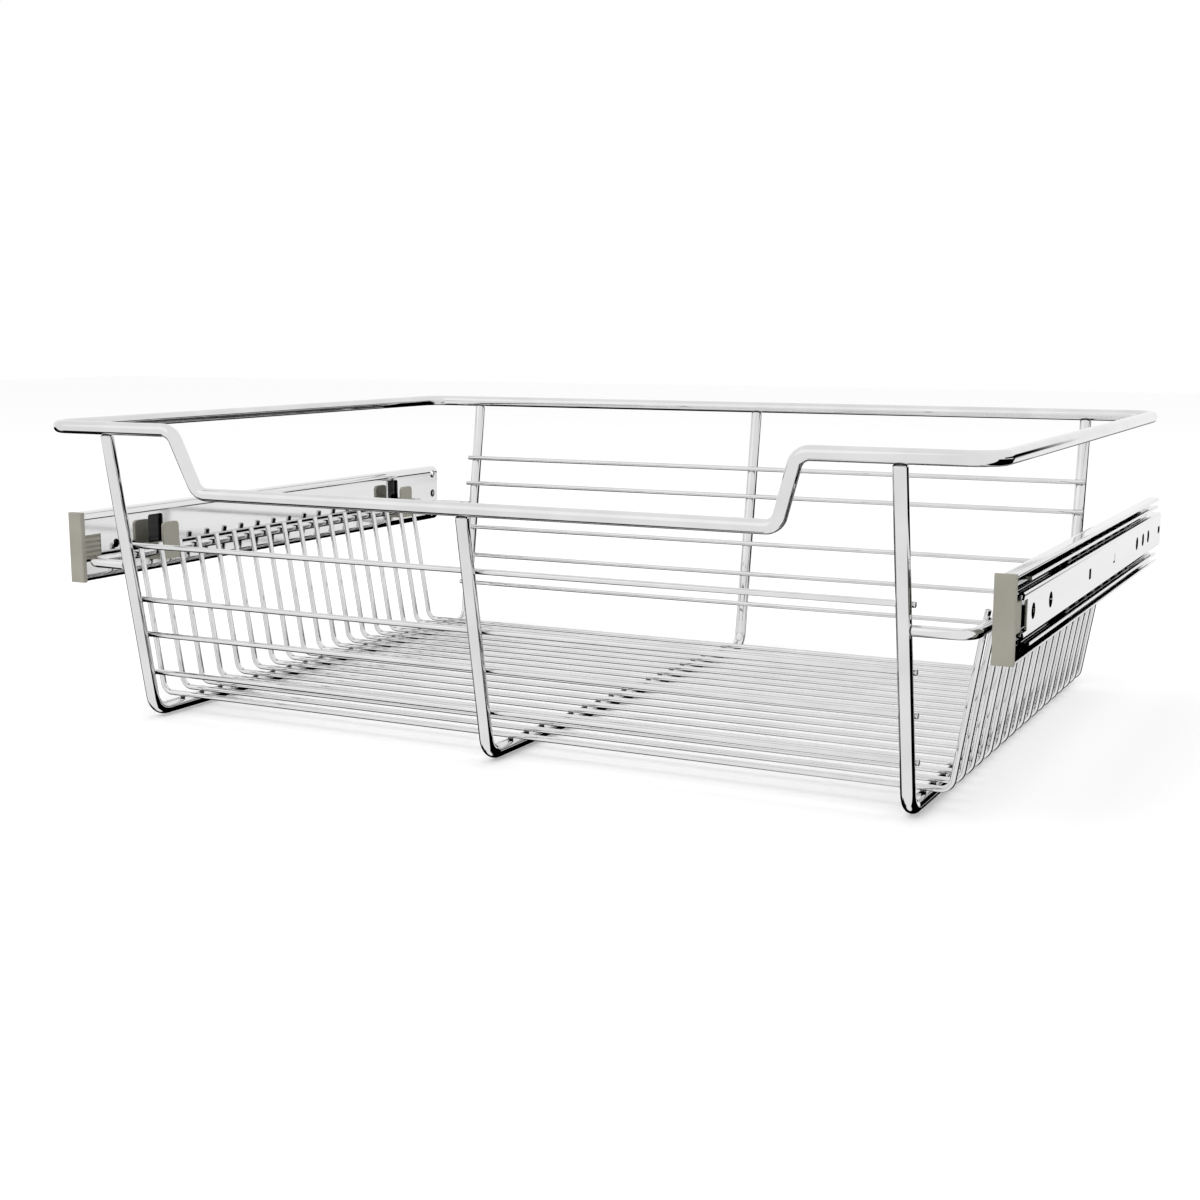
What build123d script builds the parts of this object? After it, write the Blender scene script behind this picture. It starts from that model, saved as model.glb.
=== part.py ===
from build123d import *
from math import cos, radians, sin
import os

# Pull-out wire basket on a pair of telescopic ball-bearing slides. Millimetres.
# X runs across the cabinet, +Y towards its back, +Z up.  The origin lies midway
# between the two slides and midway between the front and back of the rim, on the
# plane that the undersides of the three frame wires share.
#
# Round wires and balls are drawn eight-sided inside their true round outline, so
# that the many bends and balls keep few faces.  Their corners lie on the true size.

# ---- Wire basket: driving dimensions ------------------------------------------
OVERALL_WIDTH = 608.2        # over the faces that screw to the cabinet
RIM_DEPTH = 442.0            # centreline of the rim, front to back
BASKET_DROP = 183.0          # rim centreline down to the frame wires' floor run
RIM_SIDE_GAP = 3.1           # rim's outer edge to the cabinet, each side
RIM_CORNER_BEND = 16.0
FRONT_INSET = 32.4           # how far the front leans in over the drop
BACK_INSET = 28.9            # how far the back leans in over the drop

FRAME_WIRE = 8.0             # diameter of the rim and of the three frame wires
RAIL_WIRE = 6.0              # diameter of the two side rails
THIN_WIRE = 3.5              # diameter of the floor, front and back wires
ROUND_SIDES = 8              # flats that stand in for a round section
WELD_GAP = 0.05              # touching wires stop this far from one another

RAIL_HEIGHT = 100.5          # side rail centreline above the underside
RAIL_SIDE_GAP = 8.2          # side rail centreline to the slide's web
RAIL_LEG = 34.3              # side rail centreline to the outer frame wire's
RAIL_BEND = 9.5
FRAME_WIRE_BEND = 12.0

DIP_DEPTH = 38.3             # handle dip in the front of the rim
DIP_SHOULDER = 51.7          # outer frame wire to where the dip starts
DIP_SLOPE = 12.7             # how far the dip narrows on its way down
DIP_BEND = 9.0

FLOOR_WIRE_COUNT = 18
FLOOR_WIRE_FRONT_GAP = 26.4  # frame wires' front foot to the first floor wire
FLOOR_WIRE_BACK_GAP = 33.0   # last floor wire to the frame wires' back foot
FLOOR_WIRE_LEAN = 14.8       # how far its legs lean out on their way to the rail
FLOOR_WIRE_BEND = 7.0
FLOOR_WIRE_STAND = 3.0       # the cut ends stand this far above the rail

FRONT_WIRE_HEIGHTS = (112.85, 77.6, 54.55, 29.2)
BACK_WIRE_HEIGHTS = (140.3, 119.3, 83.3, 60.2, 37.2)
CROSS_WIRE_OVERHANG = 0.5    # cut ends past the outer frame wires

# ---- Slides: driving dimensions -----------------------------------------------
# u is the distance outward from the face of the basket-side web, v the height above
# the slide's centreline.
TRAVEL = 400.0
SHEET = 1.2                  # steel of the channel and of the cabinet member
MIDDLE_SHEET = 1.8           # steel of the member between them
SLIDE_ABOVE_RAIL = 7.9

CHANNEL_HEIGHT = 45.0
CHANNEL_DEPTH = 11.0
CHANNEL_BEND = 5.0
CHANNEL_LIP = 2.0
CHANNEL_FRONT_SETBACK = 21.8  # behind the rim's front
CHANNEL_REAR_SETBACK = 4.0   # ahead of the rim's back

MIDDLE_WEB_GAP = 1.0         # channel web to middle web, with the cage between
MIDDLE_BEND = 2.4
MIDDLE_FRONT_SETBACK = 29.2  # behind the channel's front
MIDDLE_REAR_SETBACK = 3.5    # ahead of the channel's rear

CABINET_FACE_U = 11.6        # outer face of the member screwed to the cabinet
CABINET_BEND = 2.0
CABINET_FRONT_SETBACK = 11.2  # behind the channel's front
CABINET_REAR_REACH = 8.0     # past the channel's rear
CABINET_NOSE_CHAMFER = 3.4
CABINET_NOTCH_MARGIN = 3.7   # sheet left above and below the notch, bend included
CABINET_NOTCH_DEPTH = 8.0

BALL = 4.6
BALL_PLAY = 0.05             # between a ball and its groove
GROOVE_SINK = 0.35           # how deep a ball sits in each flange
OUTER_BALL_U = 6.2           # between channel and middle member
INNER_BALL_U = 7.9           # between middle and cabinet member
BALLS_PER_ROW = 2
BALL_LATITUDES = (-60, -30, 0, 30, 60)
BALL_END_MARGIN = 12.0       # cage end to the centre of its last ball

CAGE_SHEET = 0.4
CAGE_RIM = 0.4               # sheet left outside a ball pocket
POCKET_PLAY = 0.1
OUTER_CAGE_GAP = 0.3         # channel web to the outer cage
OUTER_CAGE_BEND = 3.2
INNER_CAGE_GAP = 0.2         # on both sides of the inner cage's web
INNER_CAGE_BEND = 1.2
CAGE_END_MARGIN = 4.0        # cage ends inside the members at either end of travel

PILOT_HOLE = 5.8             # round hole near the channel's front
PILOT_HOLE_SETBACK = 27.4
REAR_HOLE = 6.3              # three holes near the channel's rear end
REAR_HOLE_SETBACK = 7.5
REAR_HOLE_PITCH = 16.4

SCREW_HOLE = 8.5             # holes that take the cabinet screws
FRONT_SCREW_SETBACK = 21.0   # from the cabinet member's front end
FRONT_SPARE_SETBACK = 60.6
REAR_SCREW_SETBACK = 72.0    # from its rear end
REAR_SPARE_SETBACKS = (94.8, 51.4)
SQUARE_HOLE = 6.0
SQUARE_HOLE_SETBACK = 249.452
LANCE_SLOT_SETBACK = 175.525
LANCE_SLOT_LENGTH = 9.0
LANCE_SLOT_HEIGHT = 4.0
END_SLOT_SETBACK = 7.8       # this and the two setbacks above are from its rear end
END_SLOT_LENGTH = 9.0
END_SLOT_HEIGHT = 5.0

# ---- Plastic parts: driving dimensions ----------------------------------------
CAP_THICKNESS = 3.3
CAP_DEPTH = 10.8
CAP_EDGE = 0.5
CAP_PLAY = 0.05
TAIL_NOTCH_PLAY = 0.3        # tail to each side of the notch that it shows through
TAIL_LENGTH = 13.5
TAIL_CLEARANCE = 0.15
TAIL_FACE_GAP = 0.5          # tail to the inner face of the cabinet member's web
TAIL_RIB_PITCH = 3.2
TAIL_GROOVE = 1.2            # width of the grooves between the tail's ribs
TAIL_GROOVE_DEPTH = 0.6

CLIP_WIRE_GAP = 0.3          # clip end to the floor wire beside it
CLIP_RAIL_PLAY = 0.3
CLIP_PLATE = 2.2
CLIP_FLOOR = 2.7             # plastic under the trough
CLIP_TOP_V = 11.0
CLIP_BACK_RISE = 4.4         # the clip's back stands this far above the rail's centre
CLIP_CORNER = 3.0
CLIP_WEB_PLAY = 0.1
WINDOW_TOP_V = 15.6
WINDOW_CORNER = 2.0
WINDOW_MARGIN = 0.2          # window end inside the clip's end
WINDOW_DROP = 1.1            # window's lower edge below the clip
WINDOW_PLAY = 0.2

# ---- Worked out from the above ------------------------------------------------
RIM_WIDTH = OVERALL_WIDTH - 2 * RIM_SIDE_GAP - FRAME_WIRE
SLIDE_WEB_HALF = OVERALL_WIDTH / 2 - CABINET_FACE_U
RAIL_HALF = SLIDE_WEB_HALF - RAIL_SIDE_GAP
FRAME_WIRE_PITCH = RAIL_HALF - RAIL_LEG
DIP_TOP_HALF = FRAME_WIRE_PITCH - DIP_SHOULDER
DIP_BOTTOM_HALF = DIP_TOP_HALF - DIP_SLOPE

FLOOR_RUN_Z = FRAME_WIRE / 2
RIM_Z = FLOOR_RUN_Z + BASKET_DROP
SLIDE_Z = RAIL_HEIGHT + SLIDE_ABOVE_RAIL
FLOOR_WIRE_Z = FRAME_WIRE + WELD_GAP + THIN_WIRE / 2
FLOOR_WIRE_TOP_Z = RAIL_HEIGHT + RAIL_WIRE / 2 + FLOOR_WIRE_STAND
FLOOR_WIRE_RAIL_HALF = RAIL_HALF - RAIL_WIRE / 2 - WELD_GAP - THIN_WIRE / 2
FLOOR_WIRE_HALF = FLOOR_WIRE_RAIL_HALF - FLOOR_WIRE_LEAN
FLOOR_WIRE_FIRST_Y = -RIM_DEPTH / 2 + FRONT_INSET + FLOOR_WIRE_FRONT_GAP
FLOOR_WIRE_LAST_Y = RIM_DEPTH / 2 - BACK_INSET - FLOOR_WIRE_BACK_GAP
FLOOR_WIRE_PITCH = (FLOOR_WIRE_LAST_Y - FLOOR_WIRE_FIRST_Y) / (FLOOR_WIRE_COUNT - 1)

CHANNEL_FRONT_Y = -RIM_DEPTH / 2 + CHANNEL_FRONT_SETBACK
CHANNEL_REAR_Y = RIM_DEPTH / 2 - CHANNEL_REAR_SETBACK
MIDDLE_FRONT_Y = CHANNEL_FRONT_Y + MIDDLE_FRONT_SETBACK
MIDDLE_REAR_Y = CHANNEL_REAR_Y - MIDDLE_REAR_SETBACK
CABINET_FRONT_Y = CHANNEL_FRONT_Y + CABINET_FRONT_SETBACK
CABINET_REAR_Y = CHANNEL_REAR_Y + CABINET_REAR_REACH
CABINET_LENGTH = CABINET_REAR_Y - CABINET_FRONT_Y

OUTER_BALL_V = CHANNEL_HEIGHT / 2 - SHEET + GROOVE_SINK - BALL / 2
MIDDLE_HEIGHT = 2 * (OUTER_BALL_V - BALL / 2 + GROOVE_SINK)
INNER_BALL_V = MIDDLE_HEIGHT / 2 - MIDDLE_SHEET + GROOVE_SINK - BALL / 2
CABINET_HEIGHT = 2 * (INNER_BALL_V - BALL / 2 + GROOVE_SINK)
CABINET_NOTCH_HEIGHT = CABINET_HEIGHT - 2 * CABINET_NOTCH_MARGIN
TAIL_HEIGHT = CABINET_NOTCH_HEIGHT - 2 * TAIL_NOTCH_PLAY
MIDDLE_WEB_U = SHEET + MIDDLE_WEB_GAP
MIDDLE_DEPTH = CHANNEL_DEPTH - MIDDLE_WEB_U
OUTER_CAGE_U = SHEET + OUTER_CAGE_GAP
INNER_CAGE_U = MIDDLE_WEB_U + MIDDLE_SHEET + INNER_CAGE_GAP
CABINET_OPEN_U = INNER_CAGE_U + CAGE_SHEET + INNER_CAGE_GAP
CABINET_DEPTH = CABINET_FACE_U - CABINET_OPEN_U
OUTER_CAGE_FRONT_Y = MIDDLE_FRONT_Y + TRAVEL / 4 + CAGE_END_MARGIN
OUTER_CAGE_REAR_Y = CHANNEL_REAR_Y - TRAVEL / 4 - CAGE_END_MARGIN
INNER_CAGE_FRONT_Y = CABINET_FRONT_Y + TRAVEL / 4 + CAGE_END_MARGIN
INNER_CAGE_REAR_Y = MIDDLE_REAR_Y - TRAVEL / 4 - CAGE_END_MARGIN

PILOT_HOLE_Y = CHANNEL_FRONT_Y + PILOT_HOLE_SETBACK
REAR_HOLE_Y = CHANNEL_REAR_Y - REAR_HOLE_SETBACK
FRONT_SCREW_Y = CABINET_FRONT_Y + FRONT_SCREW_SETBACK
REAR_SCREW_Y = CABINET_REAR_Y - REAR_SCREW_SETBACK
FRONT_SPARE_Y = CABINET_FRONT_Y + FRONT_SPARE_SETBACK
REAR_SPARE_YS = [CABINET_REAR_Y - setback for setback in REAR_SPARE_SETBACKS]
SQUARE_HOLE_Y = CABINET_REAR_Y - SQUARE_HOLE_SETBACK
LANCE_SLOT_Y = CABINET_REAR_Y - LANCE_SLOT_SETBACK
END_SLOT_Y = CABINET_REAR_Y - END_SLOT_SETBACK

CLIP_LENGTH = FLOOR_WIRE_PITCH - THIN_WIRE - 2 * CLIP_WIRE_GAP
CLIP_RAIL_V = -SLIDE_ABOVE_RAIL
CLIP_TROUGH = RAIL_WIRE + 2 * CLIP_RAIL_PLAY
CLIP_BOTTOM_V = CLIP_RAIL_V - CLIP_TROUGH / 2 - CLIP_FLOOR
CLIP_BACK_V = CLIP_RAIL_V + CLIP_BACK_RISE
WINDOW_WIDTH = CLIP_LENGTH - 2 * WINDOW_MARGIN
WINDOW_BOTTOM_V = CLIP_BOTTOM_V - WINDOW_DROP

os.makedirs("parts", exist_ok=True)


def front_y(z):
    """Y of the leaning front of the basket, at frame wire centreline height z."""
    return -RIM_DEPTH / 2 + FRONT_INSET * (RIM_Z - z) / BASKET_DROP


def back_y(z):
    """Y of the leaning back of the basket, at frame wire centreline height z."""
    return RIM_DEPTH / 2 - BACK_INSET * (RIM_Z - z) / BASKET_DROP


def write(builder, name):
    """Label a finished piece and write it to its own file."""
    builder.part.label = name
    export_step(builder.part, f"parts/{name}.step")


def bent_wire(name, points, bends, diameter, closed=False):
    """One round wire along straight runs joined by tangent bends."""
    with BuildPart() as wire:
        with BuildLine() as route:
            FilletPolyline(*points, radius=bends, close=closed)
        with BuildSketch(Plane(origin=route.line @ 0, z_dir=route.line % 0)):
            RegularPolygon(diameter / 2, ROUND_SIDES)
        sweep()
    write(wire, name)


def straight_wire(name, y, z):
    """One thin wire laid across the three frame wires."""
    reach = FRAME_WIRE_PITCH + FRAME_WIRE / 2 + CROSS_WIRE_OVERHANG
    with BuildPart() as wire:
        with BuildSketch(Plane.YZ.offset(-reach)):
            with Locations((y, z)):
                RegularPolygon(THIN_WIRE / 2, ROUND_SIDES)
        extrude(amount=2 * reach)
    write(wire, name)


# ---- Rim: one closed wire with a handle dip in the leaning front plane ----------
def rim_points():
    """Corners of the rim, clockwise from above, starting at the back right."""
    half_x = RIM_WIDTH / 2
    half_y = RIM_DEPTH / 2
    dip_z = RIM_Z - DIP_DEPTH
    return [
        (half_x, half_y, RIM_Z),
        (half_x, -half_y, RIM_Z),
        (DIP_TOP_HALF, -half_y, RIM_Z),
        (DIP_BOTTOM_HALF, front_y(dip_z), dip_z),
        (-DIP_BOTTOM_HALF, front_y(dip_z), dip_z),
        (-DIP_TOP_HALF, -half_y, RIM_Z),
        (-half_x, -half_y, RIM_Z),
        (-half_x, half_y, RIM_Z),
    ]


rim_bends = [RIM_CORNER_BEND] * 2 + [DIP_BEND] * 4 + [RIM_CORNER_BEND] * 2
bent_wire("rim_wire", rim_points(), rim_bends, FRAME_WIRE, closed=True)


# ---- Frame wires: three U shapes whose cut ends butt under the rim --------------
def frame_wire(name, x, front_top_z):
    """U-shaped frame wire; front_top_z is the height of the wire over its front end."""
    butt = FRAME_WIRE + WELD_GAP - FRAME_WIRE / 2
    front_foot = Vector(x, front_y(FLOOR_RUN_Z), FLOOR_RUN_Z)
    back_foot = Vector(x, back_y(FLOOR_RUN_Z), FLOOR_RUN_Z)
    front_top = Vector(x, front_y(front_top_z), front_top_z)
    back_top = Vector(x, back_y(RIM_Z), RIM_Z)
    front_end = front_top + (front_foot - front_top).normalized() * butt
    back_end = back_top + (back_foot - back_top).normalized() * butt
    points = [front_end, front_foot, back_foot, back_end]
    bent_wire(name, points, [FRAME_WIRE_BEND] * 2, FRAME_WIRE)


frame_wire("left_frame_wire", -FRAME_WIRE_PITCH, RIM_Z)
frame_wire("centre_frame_wire", 0.0, RIM_Z - DIP_DEPTH)
frame_wire("right_frame_wire", FRAME_WIRE_PITCH, RIM_Z)


# ---- Side rails: their legs butt against the outer frame wires ------------------
def side_rail(name, side):
    """Side rail, level with the clips; side is -1 at the left and +1 at the right."""
    end_x = side * (FRAME_WIRE_PITCH + FRAME_WIRE / 2 + WELD_GAP)
    rail_x = side * RAIL_HALF
    points = [
        (end_x, front_y(RAIL_HEIGHT), RAIL_HEIGHT),
        (rail_x, front_y(RAIL_HEIGHT), RAIL_HEIGHT),
        (rail_x, back_y(RAIL_HEIGHT), RAIL_HEIGHT),
        (end_x, back_y(RAIL_HEIGHT), RAIL_HEIGHT),
    ]
    bent_wire(name, points, [RAIL_BEND] * 2, RAIL_WIRE)


side_rail("left_side_rail", -1)
side_rail("right_side_rail", 1)


# ---- Floor wires: each crosses the floor and climbs both sides to the rails -----
def floor_wire(name, y):
    """U-shaped floor wire with side legs that lean out to the rails."""
    lean = (FLOOR_WIRE_RAIL_HALF - FLOOR_WIRE_HALF) / (RAIL_HEIGHT - FLOOR_WIRE_Z)
    top_half = FLOOR_WIRE_HALF + lean * (FLOOR_WIRE_TOP_Z - FLOOR_WIRE_Z)
    points = [
        (-top_half, y, FLOOR_WIRE_TOP_Z),
        (-FLOOR_WIRE_HALF, y, FLOOR_WIRE_Z),
        (FLOOR_WIRE_HALF, y, FLOOR_WIRE_Z),
        (top_half, y, FLOOR_WIRE_TOP_Z),
    ]
    bent_wire(name, points, [FLOOR_WIRE_BEND] * 2, THIN_WIRE)


for index in range(FLOOR_WIRE_COUNT):
    wire_y = FLOOR_WIRE_FIRST_Y + index * FLOOR_WIRE_PITCH
    floor_wire(f"floor_wire_{index + 1:02d}", wire_y)


# ---- Front and back wires: straight, on the inner side of the frame wires -------
def lean_offset(inset):
    """Level distance between a frame wire and a thin wire that touches its slope."""
    slope_length = (BASKET_DROP**2 + inset**2) ** 0.5
    touching = FRAME_WIRE / 2 + WELD_GAP + THIN_WIRE / 2
    return touching * slope_length / BASKET_DROP


for index, wire_z in enumerate(FRONT_WIRE_HEIGHTS):
    straight_wire(f"front_wire_{index + 1}", front_y(wire_z) + lean_offset(FRONT_INSET), wire_z)

for index, wire_z in enumerate(BACK_WIRE_HEIGHTS):
    straight_wire(f"back_wire_{index + 1}", back_y(wire_z) - lean_offset(BACK_INSET), wire_z)


# ---- Slides ---------------------------------------------------------------------
def section_plane(side, u, outward, y):
    """Plane across a slide at y: local x runs outward (or inward), local y is up."""
    origin = (side * (SLIDE_WEB_HALF + u), y, SLIDE_Z)
    return Plane(origin=origin, x_dir=(outward, 0, 0), z_dir=(0, -outward, 0))


def web_plane(side, u):
    """Plane in a slide's web: local x runs to the back of the cabinet, local y is up."""
    return Plane(origin=(side * (SLIDE_WEB_HALF + u), 0, SLIDE_Z), x_dir=(0, 1, 0), z_dir=(1, 0, 0))


def channel_section(section, depth, height, sheet, bend):
    """Rolled C section in the open sketch, with its web on local x = 0."""
    with Locations((depth / 2, 0)):
        Rectangle(depth, height)
    fillet(section.vertices().group_by(Axis.X)[0], bend)
    with Locations((sheet + depth, 0)):
        RectangleRounded(2 * depth, height - 2 * sheet, bend - sheet, mode=Mode.SUBTRACT)


def groove_pair(u, v):
    """Cut the two ball grooves that face one another across the slide."""
    with Locations((u, v), (u, -v)):
        Circle(BALL / 2 + BALL_PLAY, mode=Mode.SUBTRACT)


def ball_ys(front, rear):
    """Ball centres along a cage, evenly spread between its end margins."""
    step = (rear - front - 2 * BALL_END_MARGIN) / (BALLS_PER_ROW - 1)
    return [front + BALL_END_MARGIN + step * index for index in range(BALLS_PER_ROW)]


def ball_places(side, u, v, front, rear):
    """Centres of both rows of balls in one cage."""
    x = side * (SLIDE_WEB_HALF + u)
    return [(x, y, SLIDE_Z + row * v) for y in ball_ys(front, rear) for row in (-1, 1)]


def clip_ys():
    """Middle of the gap between floor wires that each clip stands in, front and rear."""
    second_gap = FLOOR_WIRE_FIRST_Y + 1.5 * FLOOR_WIRE_PITCH
    last_gap = FLOOR_WIRE_LAST_Y - 0.5 * FLOOR_WIRE_PITCH
    return {"front": second_gap, "rear": last_gap}


def basket_channel(name, side):
    """Outermost channel of the slide, which travels with the basket."""
    length = CHANNEL_REAR_Y - CHANNEL_FRONT_Y
    tail_gap = TAIL_LENGTH + TAIL_CLEARANCE
    window_middle = (WINDOW_TOP_V + WINDOW_BOTTOM_V) / 2
    with BuildPart() as channel:
        with BuildSketch(section_plane(side, 0, side, CHANNEL_FRONT_Y)) as section:
            channel_section(section, CHANNEL_DEPTH, CHANNEL_HEIGHT, SHEET, CHANNEL_BEND)
            lip_v = (CHANNEL_HEIGHT - CHANNEL_LIP) / 2
            with Locations((CHANNEL_DEPTH - SHEET / 2, lip_v), (CHANNEL_DEPTH - SHEET / 2, -lip_v)):
                Rectangle(SHEET, CHANNEL_LIP)
            groove_pair(OUTER_BALL_U, OUTER_BALL_V)
        extrude(amount=-side * length)
        with BuildSketch(web_plane(side, SHEET / 2)):
            with Locations((CHANNEL_FRONT_Y, 0)):
                Rectangle(2 * tail_gap, TAIL_HEIGHT + 2 * TAIL_CLEARANCE)
            with Locations((PILOT_HOLE_Y, 0)):
                Circle(PILOT_HOLE / 2)
            with Locations(*[(REAR_HOLE_Y, row * REAR_HOLE_PITCH) for row in (-1, 0, 1)]):
                Circle(REAR_HOLE / 2)
            with Locations(*[(y, window_middle) for y in clip_ys().values()]):
                RectangleRounded(WINDOW_WIDTH, WINDOW_TOP_V - WINDOW_BOTTOM_V, WINDOW_CORNER)
        extrude(amount=SHEET, both=True, mode=Mode.SUBTRACT)
    write(channel, name)


def middle_member(name, side):
    """Intermediate member, which travels half as far as the basket."""
    length = MIDDLE_REAR_Y - MIDDLE_FRONT_Y
    with BuildPart() as middle:
        with BuildSketch(section_plane(side, MIDDLE_WEB_U, side, MIDDLE_FRONT_Y)) as section:
            channel_section(section, MIDDLE_DEPTH, MIDDLE_HEIGHT, MIDDLE_SHEET, MIDDLE_BEND)
            groove_pair(OUTER_BALL_U - MIDDLE_WEB_U, OUTER_BALL_V)
            groove_pair(INNER_BALL_U - MIDDLE_WEB_U, INNER_BALL_V)
        extrude(amount=-side * length)
        with BuildSketch(web_plane(side, MIDDLE_WEB_U + MIDDLE_SHEET / 2)):
            with Locations((REAR_SCREW_Y, 0)):
                Circle(SCREW_HOLE / 2)
        extrude(amount=MIDDLE_SHEET, both=True, mode=Mode.SUBTRACT)
    write(middle, name)


def cabinet_member(name, side):
    """Innermost member of the slide, screwed to the side of the cabinet."""
    hole_ys = [FRONT_SCREW_Y, REAR_SCREW_Y, FRONT_SPARE_Y] + REAR_SPARE_YS
    with BuildPart() as member:
        with BuildSketch(section_plane(side, CABINET_FACE_U, -side, CABINET_FRONT_Y)) as section:
            channel_section(section, CABINET_DEPTH, CABINET_HEIGHT, SHEET, CABINET_BEND)
            groove_pair(CABINET_FACE_U - INNER_BALL_U, INNER_BALL_V)
        extrude(amount=side * CABINET_LENGTH)
        with BuildSketch(web_plane(side, CABINET_OPEN_U)):
            nose_half = CABINET_HEIGHT / 2
            with Locations((CABINET_FRONT_Y, nose_half), (CABINET_FRONT_Y, -nose_half)):
                RegularPolygon(CABINET_NOSE_CHAMFER, 4)
        extrude(amount=side * (CABINET_DEPTH + SHEET), mode=Mode.SUBTRACT)
        with BuildSketch(web_plane(side, CABINET_FACE_U - SHEET / 2)):
            with Locations((CABINET_FRONT_Y, 0)):
                Rectangle(2 * CABINET_NOTCH_DEPTH, CABINET_NOTCH_HEIGHT)
            with Locations(*[(y, 0) for y in hole_ys]):
                Circle(SCREW_HOLE / 2)
            with Locations((SQUARE_HOLE_Y, 0)):
                Rectangle(SQUARE_HOLE, SQUARE_HOLE)
            with Locations((LANCE_SLOT_Y, 0)):
                Rectangle(LANCE_SLOT_LENGTH, LANCE_SLOT_HEIGHT)
            with Locations((END_SLOT_Y, 0)):
                SlotOverall(END_SLOT_LENGTH, END_SLOT_HEIGHT)
        extrude(amount=SHEET, both=True, mode=Mode.SUBTRACT)
    write(member, name)


def ball_cage(name, side, u, bend, front, rear, ball_u, ball_v):
    """Thin sheet cage that keeps two rows of balls at their spacing."""
    depth = ball_u + BALL / 2 + POCKET_PLAY + CAGE_RIM - u
    with BuildPart() as cage:
        with BuildSketch(section_plane(side, u, side, front)) as section:
            channel_section(section, depth, 2 * ball_v + CAGE_SHEET, CAGE_SHEET, bend)
        extrude(amount=-side * (rear - front))
        pocket = BALL + 2 * POCKET_PLAY
        with Locations(*ball_places(side, ball_u, ball_v, front, rear)):
            Box(pocket, pocket, 3 * CAGE_SHEET, mode=Mode.SUBTRACT)
    write(cage, name)


def ball_rows(name, side, front, rear, u, v):
    """Both rows of balls of one cage, as separate balls."""
    with BuildPart() as one_ball:
        for latitude in BALL_LATITUDES:
            with BuildSketch(Plane.XZ.offset(BALL / 2 * sin(radians(latitude)))):
                RegularPolygon(BALL / 2 * cos(radians(latitude)), ROUND_SIDES)
        loft(ruled=True)
    with BuildPart() as balls:
        with Locations(*ball_places(side, u, v, front, rear)):
            add(one_ball.part)
    write(balls, name)


def end_cap(name, side):
    """Moulded cap over the channel's front end, held by a ribbed tail in its web."""
    tail_depth = CABINET_FACE_U - SHEET - TAIL_FACE_GAP - TAIL_CLEARANCE
    with BuildPart() as cap:
        with BuildSketch(section_plane(side, 0, side, CHANNEL_FRONT_Y - CAP_PLAY)):
            with Locations((CAP_DEPTH / 2, 0)):
                Rectangle(CAP_DEPTH, CHANNEL_HEIGHT)
        extrude(amount=side * CAP_THICKNESS)
        chamfer(cap.faces().sort_by(Axis.Y)[0].edges(), CAP_EDGE)
        with BuildSketch(section_plane(side, TAIL_CLEARANCE, side, CHANNEL_FRONT_Y - CAP_PLAY)):
            with Locations((tail_depth / 2, 0)):
                Rectangle(tail_depth, TAIL_HEIGHT)
            with Locations(*[(0, row * TAIL_RIB_PITCH) for row in (-2, -1, 0, 1, 2)]):
                Rectangle(2 * TAIL_GROOVE_DEPTH, TAIL_GROOVE, mode=Mode.SUBTRACT)
        extrude(amount=-side * (TAIL_LENGTH + CAP_PLAY))
    write(cap, name)


def rail_clip(name, side, y):
    """Moulded clip: an open trough for the side rail, keyed into a window in the web."""
    rail_u = RAIL_HALF - SLIDE_WEB_HALF
    inner_u = rail_u - CLIP_TROUGH / 2 - CLIP_PLATE
    boss_bottom = WINDOW_BOTTOM_V + WINDOW_PLAY
    boss_height = CLIP_BACK_V - boss_bottom
    boss_length = WINDOW_WIDTH - 2 * WINDOW_PLAY
    with BuildPart() as clip:
        with BuildSketch(section_plane(side, 0, side, y - CLIP_LENGTH / 2)):
            corner = (Align.MIN, Align.MIN)
            with Locations((inner_u, CLIP_BOTTOM_V)):
                Rectangle(CLIP_PLATE, CLIP_TOP_V - CLIP_BOTTOM_V, align=corner)
                Rectangle(-CLIP_WEB_PLAY - inner_u, CLIP_BACK_V - CLIP_BOTTOM_V, align=corner)
            with Locations((rail_u, CLIP_RAIL_V)):
                Circle(CLIP_TROUGH / 2, mode=Mode.SUBTRACT)
                above = (Align.CENTER, Align.MIN)
                Rectangle(CLIP_TROUGH, 2 * CLIP_BACK_RISE, align=above, mode=Mode.SUBTRACT)
        extrude(amount=-side * CLIP_LENGTH)
        fillet(clip.edges().filter_by(Axis.X).group_by(Axis.Z)[-1], CLIP_CORNER)
        with BuildSketch(web_plane(side, -CLIP_WEB_PLAY)):
            with Locations((y, boss_bottom + boss_height / 2)):
                RectangleRounded(boss_length, boss_height, WINDOW_CORNER)
        extrude(amount=side * SHEET)
    write(clip, name)


for side_name, side in (("left", -1), ("right", 1)):
    basket_channel(f"{side_name}_basket_channel", side)
    middle_member(f"{side_name}_middle_member", side)
    cabinet_member(f"{side_name}_cabinet_member", side)
    outer = (OUTER_CAGE_FRONT_Y, OUTER_CAGE_REAR_Y, OUTER_BALL_U, OUTER_BALL_V)
    inner = (INNER_CAGE_FRONT_Y, INNER_CAGE_REAR_Y, INNER_BALL_U, INNER_BALL_V)
    ball_cage(f"{side_name}_outer_ball_cage", side, OUTER_CAGE_U, OUTER_CAGE_BEND, *outer)
    ball_rows(f"{side_name}_outer_balls", side, *outer)
    ball_cage(f"{side_name}_inner_ball_cage", side, INNER_CAGE_U, INNER_CAGE_BEND, *inner)
    ball_rows(f"{side_name}_inner_balls", side, *inner)
    end_cap(f"{side_name}_end_cap", side)
    for place, clip_y in clip_ys().items():
        rail_clip(f"{side_name}_{place}_clip", side, clip_y)
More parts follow.
